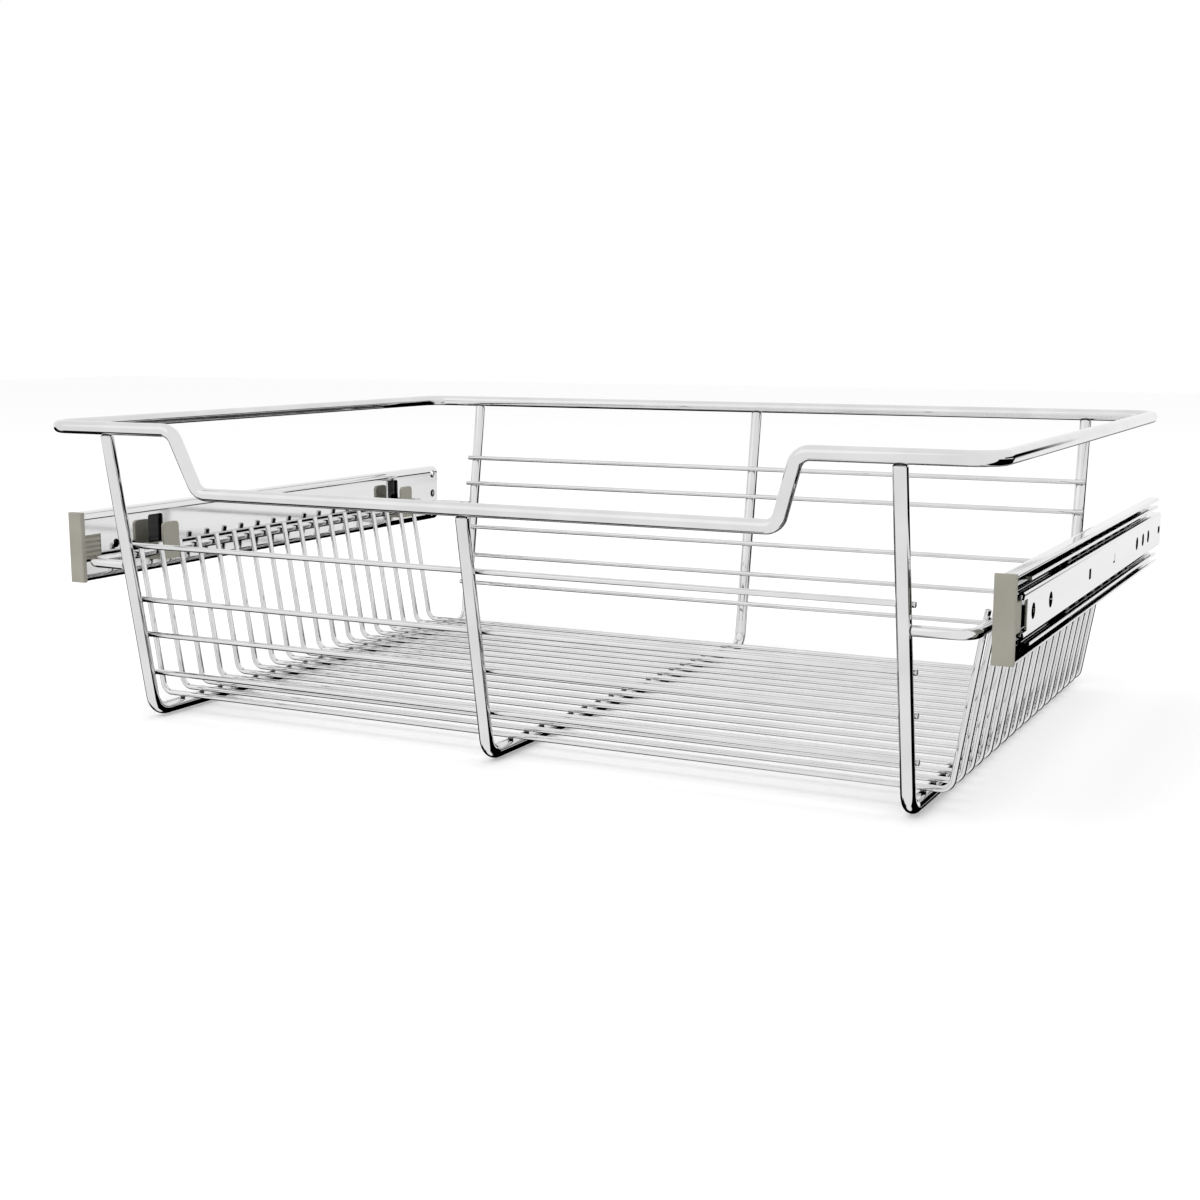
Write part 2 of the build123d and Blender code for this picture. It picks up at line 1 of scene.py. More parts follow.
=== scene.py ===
"""Chromed pull-out wire basket on two telescopic ball-bearing slides.

Everything is in metres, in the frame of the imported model: X across the cabinet,
+Y towards its back, +Z up.  The wires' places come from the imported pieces' own
boxes.  The slides' places, and sizes that a box doesn't give, are fields of the
classes below.
"""

from __future__ import annotations

import logging
import math
from dataclasses import dataclass, field
from enum import Enum
from typing import Iterable, Sequence

import bmesh
import bpy
from bpy.types import ID, Material, Mesh, Node, NodeSocket, NodeTree, NodeTreeInterfaceSocket, Object
from mathutils import Matrix, Vector

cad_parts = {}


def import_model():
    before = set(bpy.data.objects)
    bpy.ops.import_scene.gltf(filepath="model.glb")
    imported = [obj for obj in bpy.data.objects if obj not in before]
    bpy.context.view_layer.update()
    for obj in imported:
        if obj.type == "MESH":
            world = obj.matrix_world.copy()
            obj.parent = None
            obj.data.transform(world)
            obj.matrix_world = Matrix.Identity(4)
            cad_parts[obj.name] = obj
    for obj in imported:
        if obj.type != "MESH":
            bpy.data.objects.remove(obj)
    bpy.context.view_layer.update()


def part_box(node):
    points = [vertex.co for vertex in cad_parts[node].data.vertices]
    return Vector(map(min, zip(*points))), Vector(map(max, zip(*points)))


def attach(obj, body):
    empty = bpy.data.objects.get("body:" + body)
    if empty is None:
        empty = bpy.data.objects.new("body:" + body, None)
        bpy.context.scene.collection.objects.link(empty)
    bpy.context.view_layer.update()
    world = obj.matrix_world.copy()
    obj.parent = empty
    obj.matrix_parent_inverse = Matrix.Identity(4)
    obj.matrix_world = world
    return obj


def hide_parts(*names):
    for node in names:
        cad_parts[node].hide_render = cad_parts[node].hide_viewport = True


LOG = logging.getLogger("basket")
MM = 0.001

Pair = tuple[float, float]
Triple = tuple[float, float, float]
Feed = dict[str | int, object]


# ---- Names ----------------------------------------------------------------------
class Body(str, Enum):
    """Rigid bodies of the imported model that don't depend on a side."""

    CABINET = "cabinet_members"
    BASKET = "basket"


class Slot(str, Enum):
    """Material slots of the record."""

    WIRE = "wire_chrome"
    SLIDE = "slide_chrome"
    MIDDLE = "slide_steel"
    CAGE = "cage_steel"
    BALL = "ball_steel"
    PLASTIC = "grey_plastic"


class Side(Enum):
    """The two sides of the basket, by the sign of X."""

    LEFT = -1
    RIGHT = 1

    @property
    def label(self) -> str:
        """Word that starts the names of this side's pieces."""
        return self.name.lower()

    def body(self, part: str) -> str:
        """Name of this side's own body for a part, such as middle."""
        return f"{self.label}_{part}"


class Scattered(Enum):
    """Small shapes that repeat at many points."""

    WELD = "weld"
    BALL = "ball"


# ---- Node helpers ---------------------------------------------------------------
class Graph:
    """A node tree with short ways to add and feed its nodes."""

    def __init__(self, tree: NodeTree) -> None:
        """Wrap the geometry, shader or world tree to build in."""
        self.tree = tree

    def feed(self, node: Node, values: Feed) -> Node:
        """Fill a node's inputs.

        Args:
            node: the node.
            values: what each input gets, a constant or another node's output.

        Returns:
            The same node.
        """
        for key, value in values.items():
            if isinstance(value, NodeSocket):
                self.tree.links.new(value, node.inputs[key])
            else:
                node.inputs[key].default_value = value
        return node

    def add(self, kind: str, values: Feed | None = None, **settings: object) -> Node:
        """Add one node.

        Args:
            kind: Blender's identifier of the node type.
            values: what its inputs get.
            settings: properties to set on the node.

        Returns:
            The new node.
        """
        node = self.tree.nodes.new(kind)
        for key, value in settings.items():
            setattr(node, key, value)
        return self.feed(node, values or {})

    def fold(self, operation: str, values: Sequence[NodeSocket]) -> NodeSocket:
        """Combine several values by one operation.

        Args:
            operation: the Math node's operation.
            values: what is combined, in this order.

        Returns:
            The result.
        """
        total = values[0]
        for value in values[1:]:
            total = self.add("ShaderNodeMath", {0: total, 1: value}, operation=operation).outputs["Value"]
        return total


class GeometryRecipe(Graph):
    """A geometry node tree with named inputs, applied to host objects."""

    def __init__(self, name: str) -> None:
        """Start an empty tree.

        Args:
            name: name of the tree and of its modifiers.
        """
        super().__init__(bpy.data.node_groups.new(name, "GeometryNodeTree"))
        self._socket("Geometry", "INPUT", "NodeSocketGeometry")
        self._socket("Geometry", "OUTPUT", "NodeSocketGeometry")
        self.source = self.add("NodeGroupInput")
        self.sink = self.add("NodeGroupOutput")

    def _socket(self, name: str, way: str, kind: str) -> NodeTreeInterfaceSocket:
        """Add a socket to the tree's interface."""
        return self.tree.interface.new_socket(name, in_out=way, socket_type=kind)

    def take(self, name: str, kind: str) -> NodeSocket:
        """Add a named input and return the socket that carries it."""
        self._socket(name, "INPUT", kind)
        return self.source.outputs[name]

    def attribute(self, name: str, kind: str) -> NodeSocket:
        """Read an attribute of the host's points."""
        read = self.add("GeometryNodeInputNamedAttribute", {"Name": name}, data_type=kind)
        return read.outputs["Attribute"]

    def finish(self, geometry: NodeSocket, finish: NodeSocket) -> None:
        """End the tree in Realize Instances and Set Material.

        Args:
            geometry: what the tree has made.
            finish: the input that holds the material.
        """
        real = self.add("GeometryNodeRealizeInstances", {"Geometry": geometry}).outputs["Geometry"]
        dressed = self.add("GeometryNodeSetMaterial", {"Geometry": real, "Material": finish})
        self.feed(self.sink, {"Geometry": dressed.outputs["Geometry"]})

    def apply(self, host: Object, values: dict[str, object]) -> None:
        """Run the tree on a host object and keep the result as its plain mesh.

        Args:
            host: object whose mesh the tree reads.
            values: the named inputs.
        """
        modifier = host.modifiers.new(self.tree.name, "NODES")
        modifier.node_group = self.tree
        for item in self.tree.interface.items_tree:
            if item.item_type == "SOCKET" and item.name in values:
                modifier[item.identifier] = values[item.name]
        keep_evaluated(host)


def keep_evaluated(host: Object) -> None:
    """Replace an object's mesh by its evaluated one and drop its modifiers.

    Args:
        host: object with modifiers.
    """
    bpy.context.view_layer.update()
    graph = bpy.context.evaluated_depsgraph_get()
    mesh = bpy.data.meshes.new_from_object(host.evaluated_get(graph), depsgraph=graph)
    mesh.name = host.name
    host.modifiers.clear()
    host.data = mesh


def new_object(name: str, data: ID) -> Object:
    """Link a new object for a mesh, a light or a camera.

    Args:
        name: the object's name.
        data: what it holds.

    Returns:
        The object.
    """
    made = bpy.data.objects.new(name, data)
    bpy.context.scene.collection.objects.link(made)
    return made


def install(piece: Object, body: str, node: str) -> None:
    """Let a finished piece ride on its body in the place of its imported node.

    Args:
        piece: the finished piece.
        body: the body it rides on.
        node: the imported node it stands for.
    """
    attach(piece, body)
    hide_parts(node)
    LOG.info("%s: %d faces", piece.name, len(piece.data.polygons))


# ---- Finishes -------------------------------------------------------------------
class ShaderSheet(Graph):
    """A material's nodes around one Principled shader."""

    noise_middle: Pair = (0.3, 0.7)
    shade_middle: Pair = (0.35, 0.65)

    def __init__(self, name: str) -> None:
        """Start a material.

        Args:
            name: the material's name.
        """
        material = bpy.data.materials.new(name)
        material.use_nodes = True
        super().__init__(material.node_tree)
        self.shader = self.tree.nodes["Principled BSDF"]
        self.place = self.add("ShaderNodeTexCoord").outputs["Object"]

    def noise(self, scale: float, detail: float = 3.0, stretch: Triple = (1, 1, 1)) -> NodeSocket:
        """Noise over the piece, in object coordinates.

        Args:
            scale: waves per metre.
            detail: octaves.
            stretch: scale of each axis.

        Returns:
            The noise's factor output.
        """
        place = self.add("ShaderNodeMapping", {"Scale": stretch, "Vector": self.place}).outputs["Vector"]
        values = {"Scale": scale, "Detail": detail, "Vector": place}
        return self.add("ShaderNodeTexNoise", values).outputs["Fac"]

    def between(self, factor: NodeSocket, low: float, high: float) -> NodeSocket:
        """Spread a noise factor's middle over a range of values.

        Args:
            factor: noise output.
            low: value where the noise is low.
            high: value where the noise is high.

        Returns:
            The ranged value.
        """
        start, stop = self.noise_middle
        values = {"Value": factor, "From Min": start, "From Max": stop, "To Min": low, "To Max": high}
        return self.add("ShaderNodeMapRange", values).outputs["Result"]

    def shades(self, factor: NodeSocket, low: Triple, high: Triple) -> NodeSocket:
        """Blend two colours by a noise factor.

        Args:
            factor: noise output.
            low: colour where the noise is low.
            high: colour where the noise is high.

        Returns:
            The blended colour.
        """
        ramp = self.add("ShaderNodeValToRGB", {"Fac": factor})
        for stop, position, colour in zip(ramp.color_ramp.elements, self.shade_middle, (low, high)):
            stop.position = position
            stop.color = (*colour, 1)
        return ramp.outputs["Color"]

    def bump(self, height: NodeSocket, strength: float, distance: float) -> NodeSocket:
        """Raise the surface by a height map, full at a distance in metres, and return its normal."""
        values = {"Strength": strength, "Distance": distance, "Height": height}
        return self.add("ShaderNodeBump", values).outputs["Normal"]


@dataclass(frozen=True)
class Finish:
    """A material that is built once and then shared."""

    name: str

    def material(self) -> Material:
        """Build the finish, or return the one already built.

        Returns:
            The material.
        """
        if self.name not in bpy.data.materials:
            self.paint(ShaderSheet(self.name))
        return bpy.data.materials[self.name]

    def paint(self, sheet: ShaderSheet) -> None:
        """Set up the finish's nodes."""
        raise NotImplementedError


@dataclass(frozen=True)
class PlatedSteel(Finish):
    """Plated or bare steel: bright metal with faint streaks and ripples."""

    bright: Triple
    dull: Triple
    polish: float
    haze: float
    streak_scale: float
    streak_stretch: Triple = (1, 1, 1)
    streak_detail: float = 4.0
    ripple_scale: float = 900.0
    ripple_detail: float = 2.0
    ripple_strength: float = 0.35
    ripple_height: float = 0.004 * MM

    def paint(self, sheet: ShaderSheet) -> None:
        """Streak and ripple the metal.

        Args:
            sheet: the material's nodes.
        """
        streaks = sheet.noise(self.streak_scale, self.streak_detail, self.streak_stretch)
        ripples = sheet.noise(self.ripple_scale, self.ripple_detail)
        sheet.feed(sheet.shader, {
            "Metallic": 1.0,
            "Base Color": sheet.shades(streaks, self.dull, self.bright),
            "Roughness": sheet.between(streaks, self.haze, self.polish),
            "Normal": sheet.bump(ripples, self.ripple_strength, self.ripple_height),
        })


@dataclass(frozen=True)
class MouldedPlastic(Finish):
    """Matte moulded plastic with a fine spark-eroded grain."""

    light: Triple
    dark: Triple
    sheen: float = 0.35
    roughness: Pair = (0.62, 0.5)
    cloud_scale: float = 60.0
    cloud_detail: float = 4.0
    grain_scale: float = 2600.0
    grain_strength: float = 0.5
    grain_height: float = 0.02 * MM

    def paint(self, sheet: ShaderSheet) -> None:
        """Cloud the colour and grain the surface.

        Args:
            sheet: the material's nodes.
        """
        cloud = sheet.noise(self.cloud_scale, self.cloud_detail)
        sheet.feed(sheet.shader, {
            "Specular IOR Level": self.sheen,
            "Base Color": sheet.shades(cloud, self.dark, self.light),
            "Roughness": sheet.between(cloud, *self.roughness),
            "Normal": sheet.bump(sheet.noise(self.grain_scale), self.grain_strength, self.grain_height),
        })


@dataclass(frozen=True)
class StudioPaper(Finish):
    """Pale paper floor of the studio."""

    name: str = "studio_paper"
    tone: Triple = (0.97, 0.97, 0.97)
    roughness: float = 0.9
    sheen: float = 0.1
    tooth_scale: float = 400.0
    tooth_strength: float = 0.1
    tooth_height: float = 0.05 * MM

    def paint(self, sheet: ShaderSheet) -> None:
        """Tone the paper and give it a tooth.

        Args:
            sheet: the material's nodes.
        """
        sheet.feed(sheet.shader, {
            "Base Color": (*self.tone, 1),
            "Roughness": self.roughness,
            "Specular IOR Level": self.sheen,
            "Normal": sheet.bump(sheet.noise(self.tooth_scale), self.tooth_strength, self.tooth_height),
        })


def grey(tone: float, blue: float = 0.0) -> Triple:
    """Neutral colour, with a trace more blue where one is given."""
    return (tone, tone, tone + blue)


WIRE_CHROME = PlatedSteel(
    "wire_chrome_plate", grey(0.75, 0.005), grey(0.69, 0.005),
    polish=0.02, haze=0.045, streak_scale=35.0,
)
SLIDE_CHROME = PlatedSteel(
    "slide_chrome_plate", grey(0.79), grey(0.74),
    polish=0.04, haze=0.09, streak_scale=60.0, streak_stretch=(1, 0.04, 1),
)
ZINC_STEEL = PlatedSteel(
    "zinc_plated_steel", grey(0.74, 0.005), grey(0.66, 0.005),
    polish=0.05, haze=0.11, streak_scale=90.0, streak_stretch=(1, 0.05, 1),
)
# Near-black sheet for the ball cages and the middle web's face: painted shade of the slide's dark inside,
# darker than the steel's own colour.
SLIDE_INTERIOR_PAINTED_SHADE = PlatedSteel(
    "plain_cage_sheet", grey(0.05), grey(0.03),
    polish=0.14, haze=0.26, streak_scale=120.0, streak_stretch=(1, 0.08, 1),
)
# Polished balls, coloured near-black: painted shade of the slide's inside, darker than polished steel's own
# colour.
BALL_STEEL_PAINTED_SHADE = PlatedSteel(
    "polished_ball_steel", grey(0.13), grey(0.08),
    polish=0.04, haze=0.08, streak_scale=500.0,
)
# Plated weld beads, coloured dark: painted shadow where the wires cross, darker than the plating's own
# colour.
WELD_BEAD_PAINTED_SHADOW = PlatedSteel(
    "plated_weld_bead", grey(0.34), grey(0.12),
    polish=0.08, haze=0.22, streak_scale=700.0,
)
SHEARED_END = PlatedSteel(
    "sheared_wire_end", grey(0.42, 0.01), grey(0.16, 0.01),
    polish=0.3, haze=0.5, streak_scale=900.0,
)
GREY_PLASTIC = MouldedPlastic("warm_grey_plastic", light=(0.312, 0.303, 0.257), dark=(0.284, 0.275, 0.232))


# ---- Wires ----------------------------------------------------------------------
SHEARED_EASE: tuple[Pair, ...] = ((0.0, 0.80), (0.04, 0.90), (0.12, 0.965), (0.26, 1.0))


@dataclass
class Route:
    """Centreline of one wire: its corners, with a bend radius at each."""

    corners: list[Vector]
    bends: list[float]
    closed: bool = False

    def eased_ends(self, radius: float) -> tuple[list[Vector], list[float], list[float]]:
        """Add the rounding of a sheared end to both ends of an open route.

        Args:
            radius: the wire's radius.

        Returns:
            Points, bend radii and girths, one of each per point.
        """
        if self.closed:
            return self.corners, self.bends, [1.0] * len(self.corners)
        first = (self.corners[1] - self.corners[0]).normalized()
        last = (self.corners[-2] - self.corners[-1]).normalized()
        head = [self.corners[0] + first * radius * along for along, _ in SHEARED_EASE]
        tail = [self.corners[-1] + last * radius * along for along, _ in reversed(SHEARED_EASE)]
        straight = [0.0] * len(SHEARED_EASE)
        girths = [girth for _, girth in SHEARED_EASE]
        points = head + self.corners[1:-1] + tail
        bends = straight + self.bends + straight
        return points, bends, girths + [1.0] * len(self.bends) + girths[::-1]


class WireBender:
    """Bends round wires along their routes with one geometry node tree."""

    bend_steps: int = 14
    sharp_angle: float = 40.0

    def __init__(self) -> None:
        """Build the tree: fillet the route, sweep the round section, dress it."""
        recipe = GeometryRecipe("bent_wire")
        radius = recipe.take("Wire radius", "NodeSocketFloat")
        sides = recipe.take("Sides", "NodeSocketInt")
        steps = recipe.take("Bend steps", "NodeSocketInt")
        finish = recipe.take("Finish", "NodeSocketMaterial")
        line = recipe.add("GeometryNodeMeshToCurve", {"Mesh": recipe.source.outputs["Geometry"]})
        bends = {"Curve": line.outputs["Curve"], "Count": steps, "Radius": recipe.attribute("bend", "FLOAT")}
        corner = recipe.add("GeometryNodeFilletCurve", bends, mode="POLY")
        circle = {"Resolution": sides, "Radius": radius}
        section = recipe.add("GeometryNodeCurvePrimitiveCircle", circle, mode="RADIUS")
        swept = recipe.add("GeometryNodeCurveToMesh", {
            "Curve": corner.outputs["Curve"],
            "Profile Curve": section.outputs["Curve"],
            "Scale": recipe.attribute("girth", "FLOAT"),
            "Fill Caps": True,
        })
        recipe.finish(swept.outputs["Mesh"], finish)
        self.recipe = recipe

    def bend(self, name: str, route: Route, radius: float, node: str, sides: int) -> None:
        """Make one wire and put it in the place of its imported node.

        Args:
            name: name of the new piece.
            route: its centreline.
            radius: its radius.
            node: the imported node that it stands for.
            sides: facets around the wire.
        """
        points, bends, girths = route.eased_ends(radius)
        count = len(points)
        edges = [(i, i + 1) for i in range(count - 1)]
        if route.closed:
            edges.append((count - 1, 0))
        mesh = bpy.data.meshes.new(name)
        mesh.from_pydata([tuple(p) for p in points], edges, [])
        for key, values in (("bend", bends), ("girth", girths)):
            attribute = mesh.attributes.new(key, "FLOAT", "POINT")
            attribute.data.foreach_set("value", values)
        wire = new_object(name, mesh)
        self.recipe.apply(wire, {
            "Wire radius": radius,
            "Sides": sides,
            "Bend steps": self.bend_steps,
            "Finish": WIRE_CHROME.material(),
        })
        self._dress(wire.data, sides)
        install(wire, Body.BASKET.value, node)

    def _dress(self, mesh: Mesh, sides: int) -> None:
        """Shade the wire smooth and give its cut faces the sheared finish.

        Args:
            mesh: the swept wire.
            sides: facets around it, the corner count of a cut face.
        """
        mesh.materials.append(SHEARED_END.material())
        for face in mesh.polygons:
            is_cut = len(face.vertices) == sides
            face.use_smooth = not is_cut
            face.material_index = 1 if is_cut else 0
        mesh.set_sharp_from_angle(angle=math.radians(self.sharp_angle))


@dataclass
class Spot:
    """One place where a small shape repeats."""

    place: Vector
    turn: Vector
    spread: Vector


class Scatterer:
    """Sets welds or balls at many points with one geometry node tree for each shape."""

    weld_subdivisions: int = 2
    ball_segments: int = 24
    ball_rings: int = 14

    def __init__(self, shape: Scattered) -> None:
        """Build the tree for a shape.

        Args:
            shape: what is repeated.
        """
        recipe = GeometryRecipe(f"scattered_{shape.value}")
        finish = recipe.take("Finish", "NodeSocketMaterial")
        if shape is Scattered.WELD:
            values = {"Subdivisions": self.weld_subdivisions, "Radius": 1.0}
            template = recipe.add("GeometryNodeMeshIcoSphere", values)
        else:
            values = {"Segments": self.ball_segments, "Rings": self.ball_rings, "Radius": 1.0}
            template = recipe.add("GeometryNodeMeshUVSphere", values)
        smooth = recipe.add("GeometryNodeSetShadeSmooth", {"Geometry": template.outputs["Mesh"]})
        turn = recipe.add("FunctionNodeEulerToRotation", {"Euler": recipe.attribute("turn", "FLOAT_VECTOR")})
        placed = recipe.add("GeometryNodeInstanceOnPoints", {
            "Points": recipe.source.outputs["Geometry"],
            "Instance": smooth.outputs["Geometry"],
            "Rotation": turn.outputs["Rotation"],
            "Scale": recipe.attribute("spread", "FLOAT_VECTOR"),
        })
        recipe.finish(placed.outputs["Instances"], finish)
        self.recipe = recipe

    def scatter(self, name: str, spots: Sequence[Spot], material: Material) -> Object:
        """Make one piece of all the spots.

        Args:
            name: name of the new piece.
            spots: where the shape repeats.
            material: its finish.

        Returns:
            The new piece, not yet riding on a body.
        """
        mesh = bpy.data.meshes.new(name)
        mesh.from_pydata([tuple(s.place) for s in spots], [], [])
        for key, vectors in (("turn", [s.turn for s in spots]), ("spread", [s.spread for s in spots])):
            attribute = mesh.attributes.new(key, "FLOAT_VECTOR", "POINT")
            attribute.data.foreach_set("vector", [c for v in vectors for c in v])
        made = new_object(name, mesh)
        self.recipe.apply(made, {"Finish": material})
        LOG.info("%s: %d spots", name, len(spots))
        return made


X_WAY, Y_WAY, Z_WAY = Vector((1, 0, 0)), Vector((0, 1, 0)), Vector((0, 0, 1))


def turn_to(normal: Vector, along: Vector) -> Vector:
    """Euler turn that points local z along a normal and local x along a wire.

    Args:
        normal: direction from one wire to the other.
        along: direction of the thinner wire.

    Returns:
        The turn as XYZ angles.
    """
    z = normal.normalized()
    x = (along - along.dot(z) * z).normalized()
    y = z.cross(x)
    return Vector(Matrix((x, y, z)).transposed().to_euler("XYZ"))


@dataclass
class WireBasket:
    """The basket: rim, frame wires, rails, floor wires, cross wires and welds."""

    bender: WireBender
    welder: Scatterer
    frame_radius: float = 4.0 * MM
    rail_radius: float = 3.0 * MM
    thin_radius: float = 1.75 * MM
    rim_bend: float = 16.0 * MM
    dip_bend: float = 9.0 * MM
    frame_bend: float = 12.0 * MM
    rail_bend: float = 9.5 * MM
    floor_bend: float = 7.0 * MM
    front_inset: float = 32.4 * MM
    back_inset: float = 28.9 * MM
    dip_top_half: float = 198.3 * MM
    dip_bottom_half: float = 185.6 * MM
    floor_half: float = 264.7 * MM
    floor_stand: float = 3.0 * MM
    frame_xs: Triple = (-0.25, 0.0, 0.25)
    floor_count: int = 18
    front_count: int = 4
    back_count: int = 5
    butt_gap: float = 0.05 * MM
    frame_sides: int = 36
    rail_sides: int = 32
    thin_sides: int = 20
    butt_weld: Triple = (2.6 * MM, 2.6 * MM, 0.55 * MM)
    rail_weld: Triple = (2.2 * MM, 2.2 * MM, 0.6 * MM)
    cross_weld: Triple = (1.9 * MM, 1.3 * MM, 0.6 * MM)
    spots: list[Spot] = field(default_factory=list)

    def __post_init__(self) -> None:
        """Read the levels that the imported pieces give."""
        rim_low, rim_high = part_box("rim_wire")
        frame_low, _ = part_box("centre_frame_wire")
        self.half_x = rim_high.x - self.frame_radius
        self.half_y = rim_high.y - self.frame_radius
        self.rim_z = rim_high.z - self.frame_radius
        self.dip_z = rim_low.z + self.frame_radius
        self.floor_z = frame_low.z + self.frame_radius
        self.drop = self.rim_z - self.floor_z

    def front_y(self, z: float) -> float:
        """Y of the leaning front at a height."""
        return -self.half_y + self.front_inset * (self.rim_z - z) / self.drop

    def back_y(self, z: float) -> float:
        """Y of the leaning back at a height."""
        return self.half_y - self.back_inset * (self.rim_z - z) / self.drop

    def build(self) -> None:
        """Make every wire of the basket and its welds."""
        self.build_rim()
        for name in ("left", "centre", "right"):
            self.build_frame_wire(name)
        for side in Side:
            self.build_rail(side)
        for index in range(self.floor_count):
            self.build_floor_wire(f"floor_wire_{index + 1:02d}")
        for index in range(self.front_count):
            self.build_cross_wire(f"front_wire_{index + 1}", self.front_inset)
        for index in range(self.back_count):
            self.build_cross_wire(f"back_wire_{index + 1}", -self.back_inset)
        # The welds' dark colour is painted shadow at the wire crossings.
        welds = self.welder.scatter("basket_welds", self.spots, WELD_BEAD_PAINTED_SHADOW.material())
        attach(welds, Body.BASKET.value)

    def build_rim(self) -> None:
        """Bend the closed rim with its handle dip."""
        x, y, z = self.half_x, self.half_y, self.rim_z
        dip_y = self.front_y(self.dip_z)
        corners = [
            Vector((x, y, z)),
            Vector((x, -y, z)),
            Vector((self.dip_top_half, -y, z)),
            Vector((self.dip_bottom_half, dip_y, self.dip_z)),
            Vector((-self.dip_bottom_half, dip_y, self.dip_z)),
            Vector((-self.dip_top_half, -y, z)),
            Vector((-x, -y, z)),
            Vector((-x, y, z)),
        ]
        bends = [self.rim_bend] * 2 + [self.dip_bend] * 4 + [self.rim_bend] * 2
        self.bender.bend("rim", Route(corners, bends, True), self.frame_radius, "rim_wire", self.frame_sides)

    def build_frame_wire(self, name: str) -> None:
        """Bend one U-shaped frame wire, butted under the rim.

        Args:
            name: left, centre or right.
        """
        low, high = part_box(f"{name}_frame_wire")
        x = (low.x + high.x) / 2
        top_z = self.dip_z if name == "centre" else self.rim_z
        front_foot = Vector((x, self.front_y(self.floor_z), self.floor_z))
        back_foot = Vector((x, self.back_y(self.floor_z), self.floor_z))
        front_top = Vector((x, self.front_y(top_z), top_z))
        back_top = Vector((x, self.half_y, self.rim_z))
        butt = self.frame_radius + self.butt_gap
        ends = []
        for top, foot in ((front_top, front_foot), (back_top, back_foot)):
            down = (foot - top).normalized()
            ends.append(top + down * butt)
            self.weld(top + down * self.frame_radius, down, X_WAY, self.butt_weld)
        route = Route([ends[0], front_foot, back_foot, ends[1]], [self.frame_bend] * 2)
        self.bender.bend(f"{name}_frame", route, self.frame_radius, f"{name}_frame_wire", self.frame_sides)

    def build_rail(self, side: Side) -> None:
        """Bend one side rail and weld its legs to the outer frame wire.

        Args:
            side: which side.
        """
        low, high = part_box(f"{side.label}_side_rail")
        z = (low.z + high.z) / 2
        outer = high.x if side is Side.RIGHT else low.x
        inner = low.x if side is Side.RIGHT else high.x
        x = outer - side.value * self.rail_radius
        front, back = self.front_y(z), self.back_y(z)
        corners = [
            Vector((inner, front, z)),
            Vector((x, front, z)),
            Vector((x, back, z)),
            Vector((inner, back, z)),
        ]
        for end in (corners[0], corners[-1]):
            self.weld(end, X_WAY, Y_WAY, self.rail_weld)
        route = Route(corners, [self.rail_bend] * 2)
        name, node = f"{side.label}_rail", f"{side.label}_side_rail"
        self.bender.bend(name, route, self.rail_radius, node, self.rail_sides)

    def build_floor_wire(self, node: str) -> None:
        """Bend one floor wire and weld it to the frame wires and the rails.

        Args:
            node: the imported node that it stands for.
        """
        low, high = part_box(node)
        y, z = (low.y + high.y) / 2, low.z + self.thin_radius
        rail_low, rail_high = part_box("right_side_rail")
        rail_z = (rail_low.z + rail_high.z) / 2
        at_rail = rail_high.x - 2 * self.rail_radius - self.butt_gap - self.thin_radius
        lean = (at_rail - self.floor_half) / (rail_z - z)
        top_z = rail_z + self.rail_radius + self.floor_stand
        top_half = self.floor_half + lean * (top_z - z)
        corners = [
            Vector((-top_half, y, top_z)),
            Vector((-self.floor_half, y, z)),
            Vector((self.floor_half, y, z)),
            Vector((top_half, y, top_z)),
        ]
        for x in self.frame_xs:
            self.weld(Vector((x, y, z - self.thin_radius)), Z_WAY, X_WAY, self.cross_weld)
        for side in Side:
            place = Vector((side.value * (at_rail + self.thin_radius), y, rail_z))
            self.weld(place, X_WAY, Z_WAY, self.cross_weld)
        route = Route(corners, [self.floor_bend] * 2)
        self.bender.bend(f"{node}_bent", route, self.thin_radius, node, self.thin_sides)

    def build_cross_wire(self, node: str, inset: float) -> None:
        """Lay one straight wire across the three frame wires and weld it.

        Args:
            node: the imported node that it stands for.
            inset: how far that side leans in, signed along Y.
        """
        low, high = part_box(node)
        y, z = (low.y + high.y) / 2, (low.z + high.z) / 2
        inward = Vector((0, self.drop, inset)).normalized() * math.copysign(1, inset)
        for x in self.frame_xs:
            self.weld(Vector((x, y, z)) - inward * self.thin_radius, inward, X_WAY, self.cross_weld)
        route = Route([Vector((low.x, y, z)), Vector((high.x, y, z))], [])
        self.bender.bend(f"{node}_laid", route, self.thin_radius, node, self.thin_sides)

    def weld(self, place: Vector, normal: Vector, along: Vector, spread: Triple) -> None:
        """Note a weld: half sizes along the thinner wire, across it and from wire to wire."""
        self.spots.append(Spot(place, turn_to(normal, along), Vector(spread)))


# ---- Sheet metal ----------------------------------------------------------------
def arc(centre: Pair, radius: float, start: float, stop: float, steps: int) -> list[Pair]:
    """Points along an arc.

    Args:
        centre: the arc's centre.
        radius: its radius.
        start: angle of the first point, in degrees.
        stop: angle of the last point.
        steps: how many chords it has.

    Returns:
        The points, ends included.
    """
    angles = [math.radians(start + (stop - start) * i / steps) for i in range(steps + 1)]
    return [(centre[0] + radius * math.cos(a), centre[1] + radius * math.sin(a)) for a in angles]


@dataclass(frozen=True)
class Groove:
    """Ball groove rolled along a flange: the place of its centre, and its radius."""

    depth: float
    height: float
    radius: float

    def across(self, face: float, steps: int = 10) -> list[Pair]:
        """Points of the groove below or above a flange's face, from the web outwards.

        Args:
            face: height of the flange's face.
            steps: how many chords it has.

        Returns:
            The points.
        """
        reach = math.sqrt(self.radius**2 - (self.height - face) ** 2)
        way = 1 if face > self.height else -1
        points = []
        for i in range(steps + 1):
            x = -reach * math.cos(math.pi * i / steps)
            points.append((self.depth + x, self.height + way * math.sqrt(self.radius**2 - x * x)))
        return points


